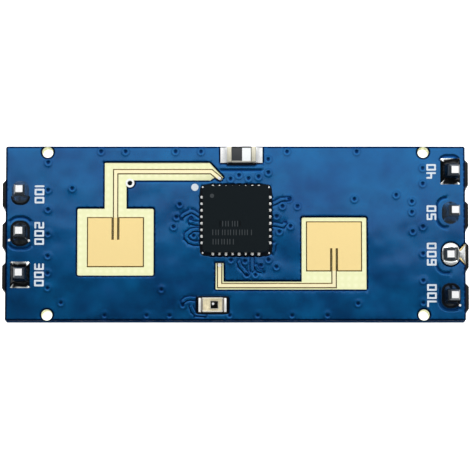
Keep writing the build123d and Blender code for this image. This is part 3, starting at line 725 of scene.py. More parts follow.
def relief_tree():
    """A Geometry Nodes tree that lifts a lacquer sheet over vias and tracks and rounds its rims."""
    inputs = [(name, "Object") for name in MARKS]
    inputs += [(name + size, "Float") for name in MARKS for size in (" Reach", " Height")]
    inputs += [(name, "Float") for name in ("Level", "Side", "Swell Height", "Swell Size", "Seed")]
    tree, given = new_nodes("lacquer_relief", *inputs, ("Lacquer", "Material"))
    place = add(tree, "GeometryNodeInputPosition")
    apart = add(tree, "ShaderNodeSeparateXYZ", links={0: place})
    on_plane = add(tree, "ShaderNodeCombineXYZ", links={"X": apart.outputs["X"], "Y": apart.outputs["Y"]})
    swell = add(
        tree,
        "ShaderNodeTexNoise",
        {"noise_dimensions": "4D", "Detail": 1.5, "Roughness": 0.4},
        {"Vector": on_plane, "Scale": given["Swell Size"], "W": given["Seed"]},
    )
    middle = add(tree, "ShaderNodeMath", {"operation": "SUBTRACT", 1: 0.5}, {0: swell})
    total = add(tree, "ShaderNodeMath", {"operation": "MULTIPLY"}, {0: middle, 1: given["Swell Height"]})
    bare = add(tree, "ShaderNodeValue")
    for name, (target, _, _, heights, bare_and_shade_share) in MARKS.items():
        marks = add(tree, "GeometryNodeObjectInfo", links={"Object": given[name]})
        near = add(
            tree,
            "GeometryNodeProximity",
            {"target_element": target},
            {0: marks.outputs["Geometry"], "Sample Position": on_plane},
        )
        share = add(
            tree,
            "ShaderNodeMath",
            {"operation": "DIVIDE", "use_clamp": True},
            {0: near.outputs["Distance"], 1: given[name + " Reach"]},
        )
        drawn = []
        for points in (heights, bare_and_shade_share):
            line = add(tree, "ShaderNodeFloatCurve", links={"Value": share})
            curve = line.mapping.curves[0]
            for i, (x, y) in enumerate(points):
                if i < 2:
                    curve.points[i].location = (x, y)
                else:
                    curve.points.new(x, y)
            for point in curve.points:
                point.handle_type = "AUTO_CLAMPED"
            line.mapping.update()
            drawn.append(line)
        above = add(tree, "ShaderNodeMath", {"operation": "SUBTRACT", 1: heights[-1][1]}, {0: drawn[0]})
        total = add(
            tree,
            "ShaderNodeMath",
            {"operation": "MULTIPLY_ADD"},
            {0: above, 1: given[name + " Height"], 2: total},
        )
        bare = add(tree, "ShaderNodeMath", {"operation": "MAXIMUM"}, {0: bare, 1: drawn[1]})
    height = add(
        tree,
        "ShaderNodeMath",
        {"operation": "MULTIPLY_ADD"},
        {0: total, 1: given["Side"], 2: given["Level"]},
    )
    raised = add(
        tree,
        "ShaderNodeCombineXYZ",
        links={"X": apart.outputs["X"], "Y": apart.outputs["Y"], "Z": height},
    )
    moved = add(
        tree, "GeometryNodeSetPosition", links={"Geometry": given["Geometry"], "Position": raised}
    )
    noted = add(
        tree,
        "GeometryNodeStoreNamedAttribute",
        {"data_type": "FLOAT", "domain": "POINT", "Name": "bare"},
        {"Geometry": moved, "Value": bare},
    )
    end_nodes(tree, noted, given["Lacquer"])
    return tree


def through_nodes(made, tree, values):
    """Runs an object through a Geometry Nodes tree and returns the result as a plain mesh."""
    modifier = made.modifiers.new("nodes", "NODES")
    modifier.node_group = tree
    for item in tree.interface.items_tree:
        if item.in_out == "INPUT" and item.name in values:
            modifier[item.identifier] = values[item.name]
    graph = bpy.context.evaluated_depsgraph_get()
    mesh = bpy.data.meshes.new_from_object(made.evaluated_get(graph))
    bpy.data.objects.remove(made)
    return mesh


def lacquer_sheet(node_name, level, side, covered):
    """The flat skin of a lacquer node as a fine mesh, with the places of its vias and its rims."""
    bm = merged(node_name)
    bm.normal_update()
    surface = BVHTree.FromBMesh(bm)
    vias, grooves, points, edges, soft_rims = [], [], [], [], []
    for loop in loops_of(sheet_outline(bm, mm(level))):
        corners = [v.co * 1000 for edge, _ in loop for v in edge.verts]
        low = Vector([min(c[i] for c in corners) for i in (0, 1)])
        high = Vector([max(c[i] for c in corners) for i in (0, 1)])
        if high.y - low.y < VIA_LOOP:
            middle = (low + high) / 2
            if high.x - low.x < VIA_LOOP:
                vias.append((middle.x, middle.y))
            else:
                grooves.append([(low.x, middle.y), (high.x, middle.y)])
            continue
        index = {}
        at_pin = abs(abs((low + high).x / 2) - PIN_ROW_X) < PAD_WINDOW_REACH
        for edge, face in loop:
            a, b = [v.co.xy * 1000 for v in edge.verts]
            inward = face.calc_center_median().xy * 1000 - a
            across = Vector((a.y - b.y, b.x - a.x)).normalized()
            if across.dot(inward) < 0:
                across.negate()
            count = max(1, math.ceil((b - a).length / RIM_STEP))
            chain = []
            for i in range(count + 1):
                at = a.lerp(b, i / count)
                key = (round(at.x, 4), round(at.y, 4))
                if key not in index:
                    index[key] = len(points)
                    points.append(at)
                chain.append(index[key])
            edges += list(zip(chain, chain[1:]))
            soft_rims += [] if at_pin else list(zip(chain, chain[1:]))
            for i in range(count):
                for depth in RIM_ROWS:
                    points.append(a.lerp(b, (i + 0.5) / count) + across * depth)

    def on_skin(at):
        """Whether the CAD skin or one of its shallow dimples and grooves lies at a point."""
        if any(a[0] < at.x < b[0] and abs(at.y - a[1]) < VIA_LOOP / 2 for a, b in grooves):
            return True
        hit = surface.ray_cast(mm(at.x, at.y, level + side), Vector((0, 0, -side)))
        return hit[0] is not None and abs(hit[0].z * 1000 - level) < DIMPLE_REACH

    rims = points_mesh("rims_" + node_name, points, soft_rims)
    inner = []
    for x, y in vias:
        for ring, count in VIA_RINGS:
            for i in range(count):
                turn = 2 * math.pi * (i + 0.5 * (count % 4)) / count
                inner.append(Vector((x + ring * math.cos(turn), y + ring * math.sin(turn))))
        inner.append(Vector((x, y)))
    for path in covered + grooves:
        for at, along in line_points(path, TRACK_STEP):
            across = Vector((-along.y, along.x))
            inner.append(at)
            for offset in TRACK_ROWS:
                inner += [at + across * offset, at - across * offset]
    low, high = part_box(node_name)
    columns = int((high.x - low.x) * 1000 / GRID)
    rows = int((high.y - low.y) * 1000 / GRID)
    for i in range(1, columns):
        for j in range(1, rows):
            at = Vector((low.x * 1000 + (i + GRID_SHIFT * (j % 2)) * GRID, low.y * 1000 + j * GRID))
            inner.append(at)
    points += [at for at in inner if on_skin(at)]
    found, _, triangles, _, _, _ = delaunay_2d_cdt(points, edges, [], 1, 1e-5)
    kept = [t for t in triangles if on_skin(sum((found[i] for i in t), Vector((0, 0))) / 3)]
    mesh = bpy.data.meshes.new(node_name + "_sheet")
    mesh.from_pydata([mm(p.x, p.y, level) for p in found], [], kept)
    bm.free()
    return placed(node_name + "_sheet", mesh), rims, vias, grooves


def lacquer(name, node_name, level, back, side, tracks, gaps, tree, seed):
    """A lacquer skin in relief: a fine sheet with a flat back and walls round its rims."""
    sheet, rims, via_places, grooves = lacquer_sheet(node_name, level, side, tracks + gaps)
    helpers = {
        "Vias": points_mesh("vias_" + node_name, via_places),
        "Tracks": polyline_mesh("tracks_" + node_name, tracks),
        "Gaps and Shade": polyline_mesh("gaps_" + node_name, gaps + grooves),
        "Rims": rims,
    }
    values = {
        "Level": mm(level),
        "Side": float(side),
        "Swell Height": mm(SWELL_HEIGHT),
        "Swell Size": 1 / mm(SWELL_SIZE),
        "Seed": float(seed),
        "Lacquer": solder_mask,
    }
    for mark, helper in helpers.items():
        values[mark] = helper
        values[mark + " Reach"] = mm(MARKS[mark][1])
        values[mark + " Height"] = mm(MARKS[mark][2])
    mesh = through_nodes(sheet, tree, values)
    for helper in helpers.values():
        bpy.data.objects.remove(helper)
    bm = bmesh.new()
    bm.from_mesh(mesh)
    bmesh.ops.delete(bm, geom=[v for v in bm.verts if not v.link_faces], context="VERTS")
    front_rims = [e for e in bm.edges if e.is_boundary]
    copied = bmesh.ops.duplicate(bm, geom=bm.verts[:] + bm.edges[:] + bm.faces[:])
    twin = copied["vert_map"]
    for vert in [v for v in copied["geom"] if isinstance(v, bmesh.types.BMVert)]:
        vert.co.z = mm(back)
    for edge in front_rims:
        a, b = edge.verts
        bm.faces.new((a, b, twin[b], twin[a]))
    return piece(name, mesh_from(bm, name), "blue_lacquer", node_name)


def ring_line(centre, half, corner, start=0, end=360, step=9):
    """Points along a rounded rectangle from one angle to another, about step degrees apart."""
    steps = round(abs(end - start) / step)
    turns = [math.radians(start + (end - start) * i / steps) for i in range(steps + 1)]
    ring = [rounded_point(*half, corner, turn) for turn in turns]
    return [(centre[0] + p.x, centre[1] + p.y) for p in ring]


def rounded_point(half_x, half_y, corner, turn):
    """Where a ray from the middle of a rounded rectangle leaves it."""
    c, s = abs(math.cos(turn)), abs(math.sin(turn))
    reach = min(half_x / max(c, 1e-9), half_y / max(s, 1e-9))
    cx, cy = half_x - corner, half_y - corner
    if corner > 0 and c * reach > cx and s * reach > cy:
        along = c * cx + s * cy
        reach = along + math.sqrt(max(0.0, along**2 - cx**2 - cy**2 + corner**2))
    return Vector((math.cos(turn), math.sin(turn))) * reach


# Gaps in the copper below the lacquer, seen as shallow dark lines beside the pads and parts. The rings
# round the radar chip and the light sensor are also painted shade round their feet, and the line along the
# diode's front is a painted shadow. The ones that follow a rounded rectangle are its middle, half size,
# corners' radius and angles.
ROUND_GAPS_AND_SHADE = (
    ((PIN_ROW_X - 0.05, RIGHT_PIN_Y[0]), (0.6, 0.95), 0.4, 55, 130),
    ((PIN_ROW_X - 0.1, RIGHT_PIN_Y[1]), (0.72, 0.92), 0.55, 100, 260),
    ((PIN_ROW_X - 0.15, RIGHT_PIN_Y[2] - 0.55), (0.7, 0.6), 0.5, 190, 280),
    ((PIN_ROW_X, RIGHT_PIN_Y[3]), (0.68, 0.86), 0.5, 150, 300),
    ((-PIN_ROW_X, LEFT_PIN_Y[1]), (0.78, 0.98), 0.7, 50, 130),
    ((-PIN_ROW_X, LEFT_PIN_Y[1]), (0.74, 0.94), 0.5, 230, 310),
    # painted shade round the radar chip and the light sensor, drawn as gaps
    (CHIP_CENTER, (CHIP_HALF + 0.1, CHIP_HALF + 0.1), 0.3),
    (SENSOR_CENTER, (SENSOR_HALF[0] + 0.07, SENSOR_HALF[1] + 0.07), 0.08),
)
COPPER_GAPS_AND_SHADE = [ring_line(*gap) for gap in ROUND_GAPS_AND_SHADE] + [
    [(DIODE_SPAN[0] - 0.43, DIODE_FRONT + 0.1), (DIODE_SPAN[0] - 0.43, 5.3)],
    [(DIODE_SPAN[1] + 0.43, DIODE_FRONT + 0.1), (DIODE_SPAN[1] + 0.43, 5.3)],
    # painted shadow along the diode's front, drawn as a gap
    [(DIODE_SPAN[0], DIODE_FRONT - 0.13), (DIODE_SPAN[1], DIODE_FRONT - 0.13)],
]

LOWER_TRACKS = [
    [(2.0, -1.2), (0.4, -1.2), (-0.8, -2.2), (-3.4, -2.2)],
    [(-7.0, 0.6), (-4.8, 0.6), (-3.4, 1.8), (1.0, 1.8)],
]

# Each skin: its side, its outer and inner level, which way it faces, its tracks, its gaps with the painted
# shade drawn as gaps, and its seed
relief = relief_tree()
for skin_side, outer, inner, facing, tracks, gaps, seed in (
    ("upper", BOARD_TOP, LAMINATE_TOP, 1, COVERED_TRACKS, COPPER_GAPS_AND_SHADE, 3),
    ("lower", BOARD_BOTTOM, LAMINATE_BOTTOM, -1, LOWER_TRACKS, [], 8),
):
    skin_node = skin_side + "_lacquer"
    lacquer(skin_node + "_relief", skin_node, outer, inner, facing, tracks, gaps, relief, seed)


def etched(name, node_name, foot):
    """A flat copper shape whose walls lean outwards by foot, as etching leaves them."""
    bm = merged(node_name)
    bmesh.ops.dissolve_limit(bm, angle_limit=math.radians(FLAT_ANGLE), verts=bm.verts, edges=bm.edges)
    bm.normal_update()
    low = min(v.co.z for v in bm.verts)
    moves = []
    for vert in bm.verts:
        if vert.co.z - low < mm(SAME_FOOT):
            walls = [f.normal for f in vert.link_faces if abs(f.normal.z) < 0.5]
            total = sum(walls, Vector()).normalized()
            share = max(0.5, min(total.dot(wall) for wall in walls))
            moves.append((vert, total * mm(foot) / share))
    for vert, move in moves:
        vert.co += move
    return piece(name, mesh_from(bm, name, crease=20), SLOT_OF[node_name], node_name)


ETCH_FOOT = 0.067
for side_name in ("left", "right"):
    etched(side_name + "_antenna_etched", side_name + "_antenna", ETCH_FOOT)

# Small parts with the soft edges of moulding, pressing or plating
for part_name, width in (
    ("diode_body", 0.04),
    ("diode_band", 0.006),
    ("diode_ends", 0.05),
    ("light_sensor_base", 0.02),
    ("light_sensor_ends", 0.02),
    ("light_sensor_die", 0.01),
    ("light_sensor_lens", 0.05),
    ("crystal_base", 0.04),
    ("crystal_lid", 0.03),
    ("regulator_body", 0.06),
    ("capacitor_bodies", 0.03),
    ("capacitor_ends", 0.05),
    ("resistor_bodies", 0.02),
    ("resistor_ends", 0.03),
    ("left_header_housing", 0.05),
    ("right_header_housing", 0.05),
):
    own = sensor_terminal_tin if part_name == "light_sensor_ends" else None
    eased(part_name + "_finished", part_name, width, material=own)


# A solder cone: its points around and its steps up, which crowd towards its foot, the gaps
# between the pin and the cone or the fill of the hole, with their corners' radii, how deep its
# foot is sunk in the pad and how far it stands on it, and its ripple: waves in each millimetre,
# how far apart two cones' ripples are taken, and shares of height and of width
CONE_AROUND = 72
CONE_STEPS = 18
CONE_CROWDING = 1.25
CONE_GAP = 0.004
CONE_CORNER = 0.03
FILL_GAP = 0.003
FILL_CORNER = 0.02
FOOT_SINK = 0.005
FOOT_LIFT = 0.012
RIPPLE_WAVES = 2.2
RIPPLE_APART = 3.7
RIPPLE_LIFT = 0.25
RIPPLE_SWELL = 0.08


def solder_cone(name, node_name, place, pad, height, lean, waist, flux, seed, tab):
    """A hollow-sided cone of solder from a pad up a leaning pin, and the fill of the hole below it.

    waist says how hollow it is, the next argument how dark the painted shade on its slope is, and tab the
    outline of a film of solder beside the pad, in the same piece, or None.
    """
    turns = [2 * math.pi * (i + 0.5) / CONE_AROUND for i in range(CONE_AROUND)]
    hole = [Vector((math.cos(t), math.sin(t))) * HOLE_RADIUS for t in turns]
    rings = [
        [(*at, BOARD_BOTTOM) for at in hole],
        [(*at, BOARD_TOP - FOOT_SINK) for at in hole],
        [(*rounded_point(*pad, t), BOARD_TOP - FOOT_SINK) for t in turns],
    ]
    for k in range(CONE_STEPS + 1):
        rise = (k / CONE_STEPS) ** CONE_CROWDING
        spread = (1 - rise) ** waist
        ring = []
        for turn in turns:
            foot = rounded_point(*pad, turn)
            post = rounded_point(PIN_HALF + CONE_GAP, PIN_HALF + CONE_GAP, CONE_CORNER, turn)
            at = post.lerp(foot, spread)
            waves = (at.x * RIPPLE_WAVES, at.y * RIPPLE_WAVES, RIPPLE_APART * seed + rise)
            ripple = noise.noise(Vector(waves))
            lift = rise * height * (1 + RIPPLE_LIFT * ripple)
            swell = 1 + RIPPLE_SWELL * ripple * math.sin(math.pi * rise)
            at = post.lerp(foot, min(1.0, max(0.0, spread * swell)))
            at += Vector(lean) * lift / PIN_ABOVE
            ring.append((at.x, at.y, BOARD_TOP + FOOT_LIFT + lift))
        rings.append(ring)
    sleeve = [rounded_point(PIN_HALF + FILL_GAP, PIN_HALF + FILL_GAP, FILL_CORNER, t) for t in turns]
    rings.append([(p.x, p.y, BOARD_TOP) for p in sleeve])
    rings.append([(p.x, p.y, BOARD_BOTTOM) for p in sleeve])
    bm = bmesh.new()
    verts = [[bm.verts.new(mm(place[0] + x, place[1] + y, z)) for x, y, z in ring] for ring in rings]
    verts.append(verts[0])
    join_rings(bm, verts)
    if tab:
        add_film(bm, tab, BOARD_TOP, TAB_HEIGHT)
    mesh = mesh_from(bm, name, crease=50)
    share = mesh.attributes.new("flux", "FLOAT", "POINT")
    share.data.foreach_set("value", [flux] * len(mesh.vertices))
    return piece(name, mesh, "solder", node_name)


def add_film(bm, outline, level, height):
    """Adds a thin film of solder with a rounded edge and a swollen middle to a bmesh."""
    middle = sum((Vector(p) for p in outline), Vector((0, 0))) / len(outline)
    profile = [(1.0, 0.0), (1.0, 0.3), (0.96, 0.6), (0.85, 0.85), (0.6, 0.97), (0.25, 1.0)]
    rings = []
    for share, rise in profile:
        spots = [middle.lerp(Vector(p), share) for p in outline]
        rings.append([bm.verts.new(mm(p.x, p.y, level + height * rise)) for p in spots])
    closed_rings(bm, rings)


def along_sides(corners, step):
    """Points along the closed line through corners, about step apart."""
    points = []
    for start, end in zip(corners, corners[1:] + corners[:1]):
        a, b = Vector(start), Vector(end)
        count = max(1, round((b - a).length / step))
        points += [tuple(a.lerp(b, i / count)) for i in range(count)]
    return points


# Film of solder on the bare copper between the third right pad and the board's end
TAB_HEIGHT = 0.05
TAB_X = (0.5, 0.62, 0.76, 0.895)
TAB_HALF = (0.2, 0.21, 0.42, 0.64)
tab_side = [(PIN_ROW_X + x, RIGHT_PIN_Y[2] + half) for x, half in zip(TAB_X, TAB_HALF)]
tab_side += [(PIN_ROW_X + x, RIGHT_PIN_Y[2] - half) for x, half in reversed(list(zip(TAB_X, TAB_HALF)))]
tab_outline = along_sides(tab_side, 0.06)

# Each joint: its side, number, pad, height, how hollow it is and how dark the painted shade on its slope is
for side_name, number, pad, height, waist, flux in (
    ("left", 1, ROUND_PAD, 1.05, 1.6, 0.1),
    ("left", 2, ROUND_PAD, 0.85, 2.6, 0.7),
    ("left", 3, SQUARE_PAD, 0.9, 3.5, 1.0),
    ("right", 1, SQUARE_PAD, 0.9, 3.4, 1.0),
    ("right", 2, ROUND_PAD, 1.0, 2.0, 0.35),
    ("right", 3, ROUND_PAD, 0.26, 3.4, 0.3),
    ("right", 4, ROUND_PAD, 1.0, 2.4, 0.9),
):
    if side_name == "right":
        place, lean, seed = (PIN_ROW_X, RIGHT_PIN_Y[number - 1]), RIGHT_PIN_LEANS[number - 1], number + 5
    else:
        place, lean, seed = (-PIN_ROW_X, LEFT_PIN_Y[number - 1]), (0.0, 0.0), number
    joint = f"{side_name}_joint_{number}"
    tab = tab_outline if joint == "right_joint_3" else None
    solder_node = f"{side_name}_solder_{number}"
    solder_cone(joint, solder_node, place, pad, height, lean, waist, flux, seed, tab)


def turned(profile, radii, at=(0, 0, 0), around=20):
    """Rings of points of a round drop at a place, from (share of radius, height) pairs."""
    turns = [2 * math.pi * i / around for i in range(around)]
    rings = []
    for share, height in profile:
        x, y = radii[0] * share, radii[1] * share
        rings.append([(at[0] + x * math.cos(t), at[1] + y * math.sin(t), at[2] + height) for t in turns])
    return rings


def rings_mesh(name, rings):
    """A closed mesh through rings of points, from its lower face to its upper one."""
    bm = bmesh.new()
    closed_rings(bm, [[bm.verts.new(mm(*point)) for point in ring] for ring in rings])
    return mesh_from(bm, name, crease=60)


# Beads of solder at the radar chip's leads: one drop, set at every lead with its own size, and a small one
# at each corner, solder that also stands in for the glints there as a painted highlight. The profile holds
# shares of the drop's radii with its heights. A bead's middle lies by the reach past the chip's side, a
# corner's from the chip's middle in X and Y, and each drop's size in X, Y and Z varies by the spread.
BEAD_PROFILE = [
    (1.0, 0.0), (0.99, 0.07), (0.96, 0.09), (0.88, 0.098), (0.65, 0.101), (0.35, 0.102), (0.12, 0.102),
]
BEAD_RADII = (0.092, 0.088)
BEAD_REACH = 0.06
BEAD_SPREAD = 0.07
BEAD_SEED = 4
CORNER_BEAD_REACH = 2.02
CORNER_BEAD_SIZE = 0.6
BEAD_SIZES = {
    "right": (1.0, 1.0, 0.95, 1.05, 1.0, 1.0, 1.05, 1.05),
    "top": (1.0, 0.85, 0.6, 0.45, 0.55, 0.7, 0.95, 1.0),
    "left": (0.95, 1.05, 1.0, 1.0, 0.95, 1.0, 0.95, 0.95),
    "bottom": (0.95, 0.8, 1.0, 0.8, 1.0, 0.8, 1.0, 1.0),
}


def bead_tree():
    """A Geometry Nodes tree that sets a drop of solder at each lead, each of a slightly other size."""
    inputs = (("Drop", "Object"), ("Spread", "Float"), ("Seed", "Int"), ("Solder", "Material"))
    tree, given = new_nodes("lead_beads", *inputs)
    drop = add(tree, "GeometryNodeObjectInfo", links={"Object": given["Drop"]})
    turn = add(tree, "GeometryNodeInputNamedAttribute", {"data_type": "FLOAT", "Name": "turn"})
    size = add(tree, "GeometryNodeInputNamedAttribute", {"data_type": "FLOAT", "Name": "size"})
    angles = add(tree, "ShaderNodeCombineXYZ", links={"Z": turn})
    rotation = add(tree, "FunctionNodeEulerToRotation", links={0: angles})
    least = add(tree, "ShaderNodeMath", {"operation": "SUBTRACT", 0: 1.0}, {1: given["Spread"]})
    most = add(tree, "ShaderNodeMath", {"operation": "ADD", 0: 1.0}, {1: given["Spread"]})
    low = add(tree, "ShaderNodeCombineXYZ", links={i: least for i in range(3)})
    high = add(tree, "ShaderNodeCombineXYZ", links={i: most for i in range(3)})
    chance = add(
        tree,
        "FunctionNodeRandomValue",
        {"data_type": "FLOAT_VECTOR"},
        {0: low, 1: high, "Seed": given["Seed"]},
    )
    scale = add(tree, "ShaderNodeVectorMath", {"operation": "SCALE"}, {0: chance, "Scale": size})
    beads = add(
        tree,
        "GeometryNodeInstanceOnPoints",
        links={
            "Points": given["Geometry"],
            "Instance": drop.outputs["Geometry"],
            "Rotation": rotation,
            "Scale": scale,
        },
    )
    end_nodes(tree, beads, given["Solder"])
    return tree


def lead_beads():
    """The solder at the radar chip's leads, as one mesh of drops."""
    drop = placed("drop", rings_mesh("drop", turned(BEAD_PROFILE, BEAD_RADII)))
    spots, turns, sizes = [], [], []
    for quarter, side_sizes in enumerate(BEAD_SIZES.values()):
        turn = math.radians(90 * quarter)
        outward = Vector((math.cos(turn), math.sin(turn)))
        across = Vector((-outward.y, outward.x))
        for i, size in enumerate(side_sizes):
            along = (i - (LEADS_PER_SIDE - 1) / 2) * LEAD_PITCH
            if quarter in (1, 2):
                along = -along
            at = Vector(CHIP_CENTER) + outward * (CHIP_HALF + BEAD_REACH) + across * along
            spots.append(mm(at.x, at.y, BOARD_TOP))
            turns.append(turn)
            sizes.append(size)
        # the corner drops also stand in for glints there, a painted highlight
        corner = Vector(CHIP_CENTER) + (outward + across) * CORNER_BEAD_REACH
        spots.append(mm(corner.x, corner.y, BOARD_TOP))
        turns.append(turn)
        sizes.append(CORNER_BEAD_SIZE)
    mesh = bpy.data.meshes.new("lead_spots")
    mesh.from_pydata(spots, [], [])
    for attribute, values in (("turn", turns), ("size", sizes)):
        mesh.attributes.new(attribute, "FLOAT", "POINT").data.foreach_set("value", values)
    values = {"Drop": drop, "Spread": BEAD_SPREAD, "Seed": BEAD_SEED, "Solder": reflowed_solder}
    beads = through_nodes(placed("lead_spots", mesh), bead_tree(), values)
    bpy.data.objects.remove(drop)
    return piece("lead_solder_beads", beads, "solder", "radar_chip_solder", material=reflowed_solder)


lead_beads()


# A film of flux, also painted shade: its height at its outer edge as a share of its height, and its step in
# degrees
FILM_THIN = 0.4
FILM_STEP = 3


def flux_and_shade_ring(name, centre, inner, outer, corner, height, start=0, end=360):
    """A black film on the board between two rounded rectangles, thin at its outer one: flux and painted
    shade.
    """
    bm = bmesh.new()
    rows = []
    for half, lift in ((inner, 0.0), (inner, height), (outer, FILM_THIN * height), (outer, 0.0)):
        line = ring_line(centre, half, corner, start, end, FILM_STEP)
        rows.append([bm.verts.new(mm(x, y, BOARD_TOP + lift)) for x, y in line])
    for lower, upper in zip(rows, rows[1:] + rows[:1]):
        for i in range(len(lower) - 1):
            bm.faces.new((lower[i], lower[i + 1], upper[i + 1], upper[i]))
    if end - start == 360:
        bmesh.ops.remove_doubles(bm, verts=bm.verts, dist=mm(SAME_SPOT))
    else:
        bm.faces.new([row[0] for row in rows])
        bm.faces.new([row[-1] for row in rows])
    return piece(name, mesh_from(bm, name, crease=60), "resistor_black", material=flux_and_shade)


# Flux round the parts, which round the radar chip, the light sensor and below the first left joint is also
# painted shade, and under the diode's front is only a painted shadow. Each ring is its name, middle, half
# sizes inside and outside, corners' radius and height, and the angles it spans where it isn't closed.
DIODE_MIDDLE = (sum(DIODE_SPAN) / 2, DIODE_FRONT + 0.47)
PAD_HALF = ROUND_PAD[:2]
for ring in (
    ("radar_chip_flux", CHIP_CENTER, (2.025, 2.025), (2.2, 2.2), 0.32, 0.03),
    ("light_sensor_flux", SENSOR_CENTER, (0.85, 0.43), (0.96, 0.54), 0.06, 0.03),
    # painted shadow under the diode's front, a black film where there is only shade
    ("diode_flux", DIODE_MIDDLE, (0.88, 0.475), (0.88, 0.62), 0.02, 0.03, 213, 327),
    ("left_joint_1_flux", (-PIN_ROW_X, LEFT_PIN_Y[0]), PAD_HALF, (0.58, 0.8), 0.5, 0.02, 205, 335),
    ("left_joint_2_flux", (-PIN_ROW_X, LEFT_PIN_Y[1]), PAD_HALF, (0.6, 0.78), 0.5, 0.02),
    ("right_joint_4_flux", (PIN_ROW_X, RIGHT_PIN_Y[3]), PAD_HALF, (0.58, 0.77), 0.5, 0.02),
):
    flux_and_shade_ring(*ring)

# Drops of solder beside the pads and at the feeds' ends, and the bond on the light sensor's die:
# flatter than the beads, each with its place and radius
DROP_FLATNESS = 0.4
DROP_SINK = 0.012
BOND_SINK = 0.004
die_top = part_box("light_sensor_die")[1].z * 1000
drop_profile = [(share, DROP_FLATNESS * rise) for share, rise in BEAD_PROFILE]
for drop_name, drop_place, radius in (
    ("spatter_1", (-13.77, -0.42, BOARD_TOP), 0.075),
    ("spatter_2", (-12.57, -0.44, BOARD_TOP), 0.075),
    ("spatter_3", (13.64, -4.4, BOARD_TOP), 0.08),
    ("left_feed_tip", (-0.97, 3.38, BOARD_TOP - DROP_SINK), 0.11),
    ("right_feed_tip", (-0.96, -1.95, BOARD_TOP - DROP_SINK), 0.12),
    ("die_bond", (-1.355, -4.335, die_top - BOND_SINK), 0.075),
):
    drop_mesh = rings_mesh(drop_name, turned(drop_profile, (radius, radius), drop_place))
    piece(drop_name, drop_mesh, "solder", material=reflowed_solder)

# White fillets at the diode's ends
eased("diode_fillets", "diode_solder", 0.03, material=reflowed_solder)

# Dark resin that fills the test hole, dished at its top
FILL_RADIUS = 0.149
FILL_PROFILE = [(1.0, BOARD_BOTTOM + 0.2), (1.0, BOARD_TOP - 0.22), (0.6, BOARD_TOP - 0.25)]
fill_rings = turned(FILL_PROFILE, (FILL_RADIUS, FILL_RADIUS), (*TEST_POINT, 0), around=32)
piece("test_hole_fill", rings_mesh("test_hole_fill", fill_rings), "package_black")

# Marks burnt into the radar chip by laser: a round one at the first lead and three rows of
# plain bars in pairs. A row is its Y, its start in X and the width of each pair.
MARK_LEVEL = BOARD_TOP + CHIP_HEIGHT
MARK_HEIGHT = 0.003
MARK_SINK = 0.004
ROUND_MARK = (CHIP_CENTER[0] - 1.45, CHIP_CENTER[1] + 1.4)
ROUND_MARK_RADIUS = 0.13
FIRST_BAR = 0.055
SECOND_BAR = 0.05
BAR_HALF = 0.17
PAIR_GAP = 0.1
BAR_ROWS = (
    (0.5, -0.95, (0.05, 0.24, 0.3, 0.22, 0.05)),
    (-0.03, -1.4, (0.24, 0.3, 0.24, 0.24, 0.26, 0.22, 0.3)),
    (-0.6, -1.38, (0.22, 0.26, 0.24, 0.26)),
)


def mark_plate(bm, corners):
    """Adds a very thin plate on the radar chip with the given outline to a bmesh."""
    levels = (MARK_LEVEL - MARK_SINK, MARK_LEVEL + MARK_HEIGHT)
    closed_rings(bm, [[bm.verts.new(mm(x, y, level)) for x, y in corners] for level in levels])


def mark_bar(bm, left, thickness, middle_y):
    """Adds an upright bar on the radar chip to a bmesh."""
    low, high = middle_y - BAR_HALF, middle_y + BAR_HALF
    mark_plate(bm, [(left, low), (left + thickness, low), (left + thickness, high), (left, high)])


marks = bmesh.new()
mark_turns = [math.radians(18 * i) for i in range(20)]
around_mark = [Vector((math.cos(t), math.sin(t))) * ROUND_MARK_RADIUS for t in mark_turns]
mark_plate(marks, [(ROUND_MARK[0] + p.x, ROUND_MARK[1] + p.y) for p in around_mark])
for row_y, bar_x, widths in BAR_ROWS:
    for width in widths:
        mark_bar(marks, bar_x, FIRST_BAR, row_y)
        mark_bar(marks, bar_x + width - SECOND_BAR, SECOND_BAR, row_y)
        bar_x += width + PAIR_GAP
piece("chip_marks", mesh_from(marks, "chip_marks"), "package_black", material=laser_mark)

# Camera: looks down on the board, seven degrees off upright, from so far that it hardly shows
# perspective. The board's top is drawn at the photograph's scale.
CAMERA_TILT = math.radians(7)
CAMERA_DISTANCE = 220
LOOK_AT = Vector((-0.024, -0.098, BOARD_TOP))
PIXELS_PER_MM = 16.43
PHOTO_PIXELS = 470
FILM_WIDTH = 36

camera_data = bpy.data.cameras.new("camera")
camera_data.sensor_width = FILM_WIDTH
camera_data.lens = FILM_WIDTH * PIXELS_PER_MM * CAMERA_DISTANCE / PHOTO_PIXELS
camera_data.clip_start = 0.01
camera_data.clip_end = 10
camera = placed("camera", camera_data)
back_off = Vector((0, -math.sin(CAMERA_TILT), math.cos(CAMERA_TILT))) * CAMERA_DISTANCE
camera.location = mm(*(LOOK_AT + back_off))
camera.rotation_euler = (CAMERA_TILT, 0, 0)
bpy.context.scene.camera = camera


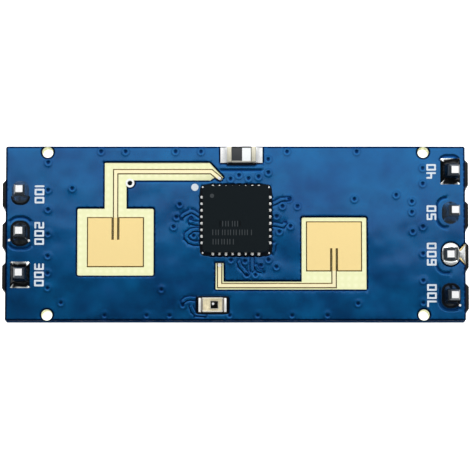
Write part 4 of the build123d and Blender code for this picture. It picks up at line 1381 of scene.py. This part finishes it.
def softbox(name, centre, size, radiance, aim, turn=0):
    """A rectangular light of even radiance, in millimetres, facing a point and turned about Z."""
    lamp = bpy.data.lights.new(name, "AREA")
    lamp.shape = "RECTANGLE"
    lamp.size = mm(size[0])
    lamp.size_y = mm(size[1])
    lamp.energy = radiance * math.pi * mm(size[0]) * mm(size[1])
    light = placed(name, lamp)
    light.location = mm(*centre)
    facing = (Vector(aim) - Vector(centre)).to_track_quat("-Z", "Y")
    light.rotation_euler = (Matrix.Rotation(math.radians(turn), 3, "Z") @ facing.to_matrix()).to_euler()


# Two wide boxes overhead light the board and shine in its gloss, and three smaller ones model the
# solder, the pins and the front edges
softbox("rear_overhead_box", (0, 81.5, 110), (240, 138), 1.25, (0, 81.5, 0), turn=-6)
softbox("front_overhead_box", (0, -110, 110), (240, 110), 1.6, (0, -110, 0))
softbox("rear_softbox", (0, 115, 80), (130, 60), 4.0, (0, 0, 10))
softbox("front_left_box", (-75, -60, 85), (20, 20), 12.0, (0, 0, 10))
softbox("front_right_box", (75, -60, 85), (20, 20), 12.0, (0, 0, 10))

world = bpy.data.worlds.new("studio")
world.use_nodes = True
world.node_tree.nodes["Background"].inputs["Color"].default_value = linear("#8f9498")
world.node_tree.nodes["Background"].inputs["Strength"].default_value = 0.4
bpy.context.scene.world = world
bpy.context.scene.view_settings.view_transform = "Standard"

# Paper sweep: matt white paper, lit from below as well so that it stays white round the object
paper = mottled(
    "matt_white_paper", light="#ffffff", dark="#f7f7f7", grain=2.0,
    roughness=(0.8, 0.9), relief=0.0,
    Emission_Color=(1.0, 1.0, 1.0, 1.0), Emission_Strength=0.8,
)
FLOOR_HALF = 2000
floor_mesh = bpy.data.meshes.new("floor")
floor_corners = [mm(a * FLOOR_HALF, b * FLOOR_HALF, -0.01) for a, b in ((-1, -1), (1, -1), (1, 1), (-1, 1))]
floor_mesh.from_pydata(floor_corners, [], [(0, 1, 2, 3)])
floor_mesh.materials.append(paper)
floor = placed("floor", floor_mesh)
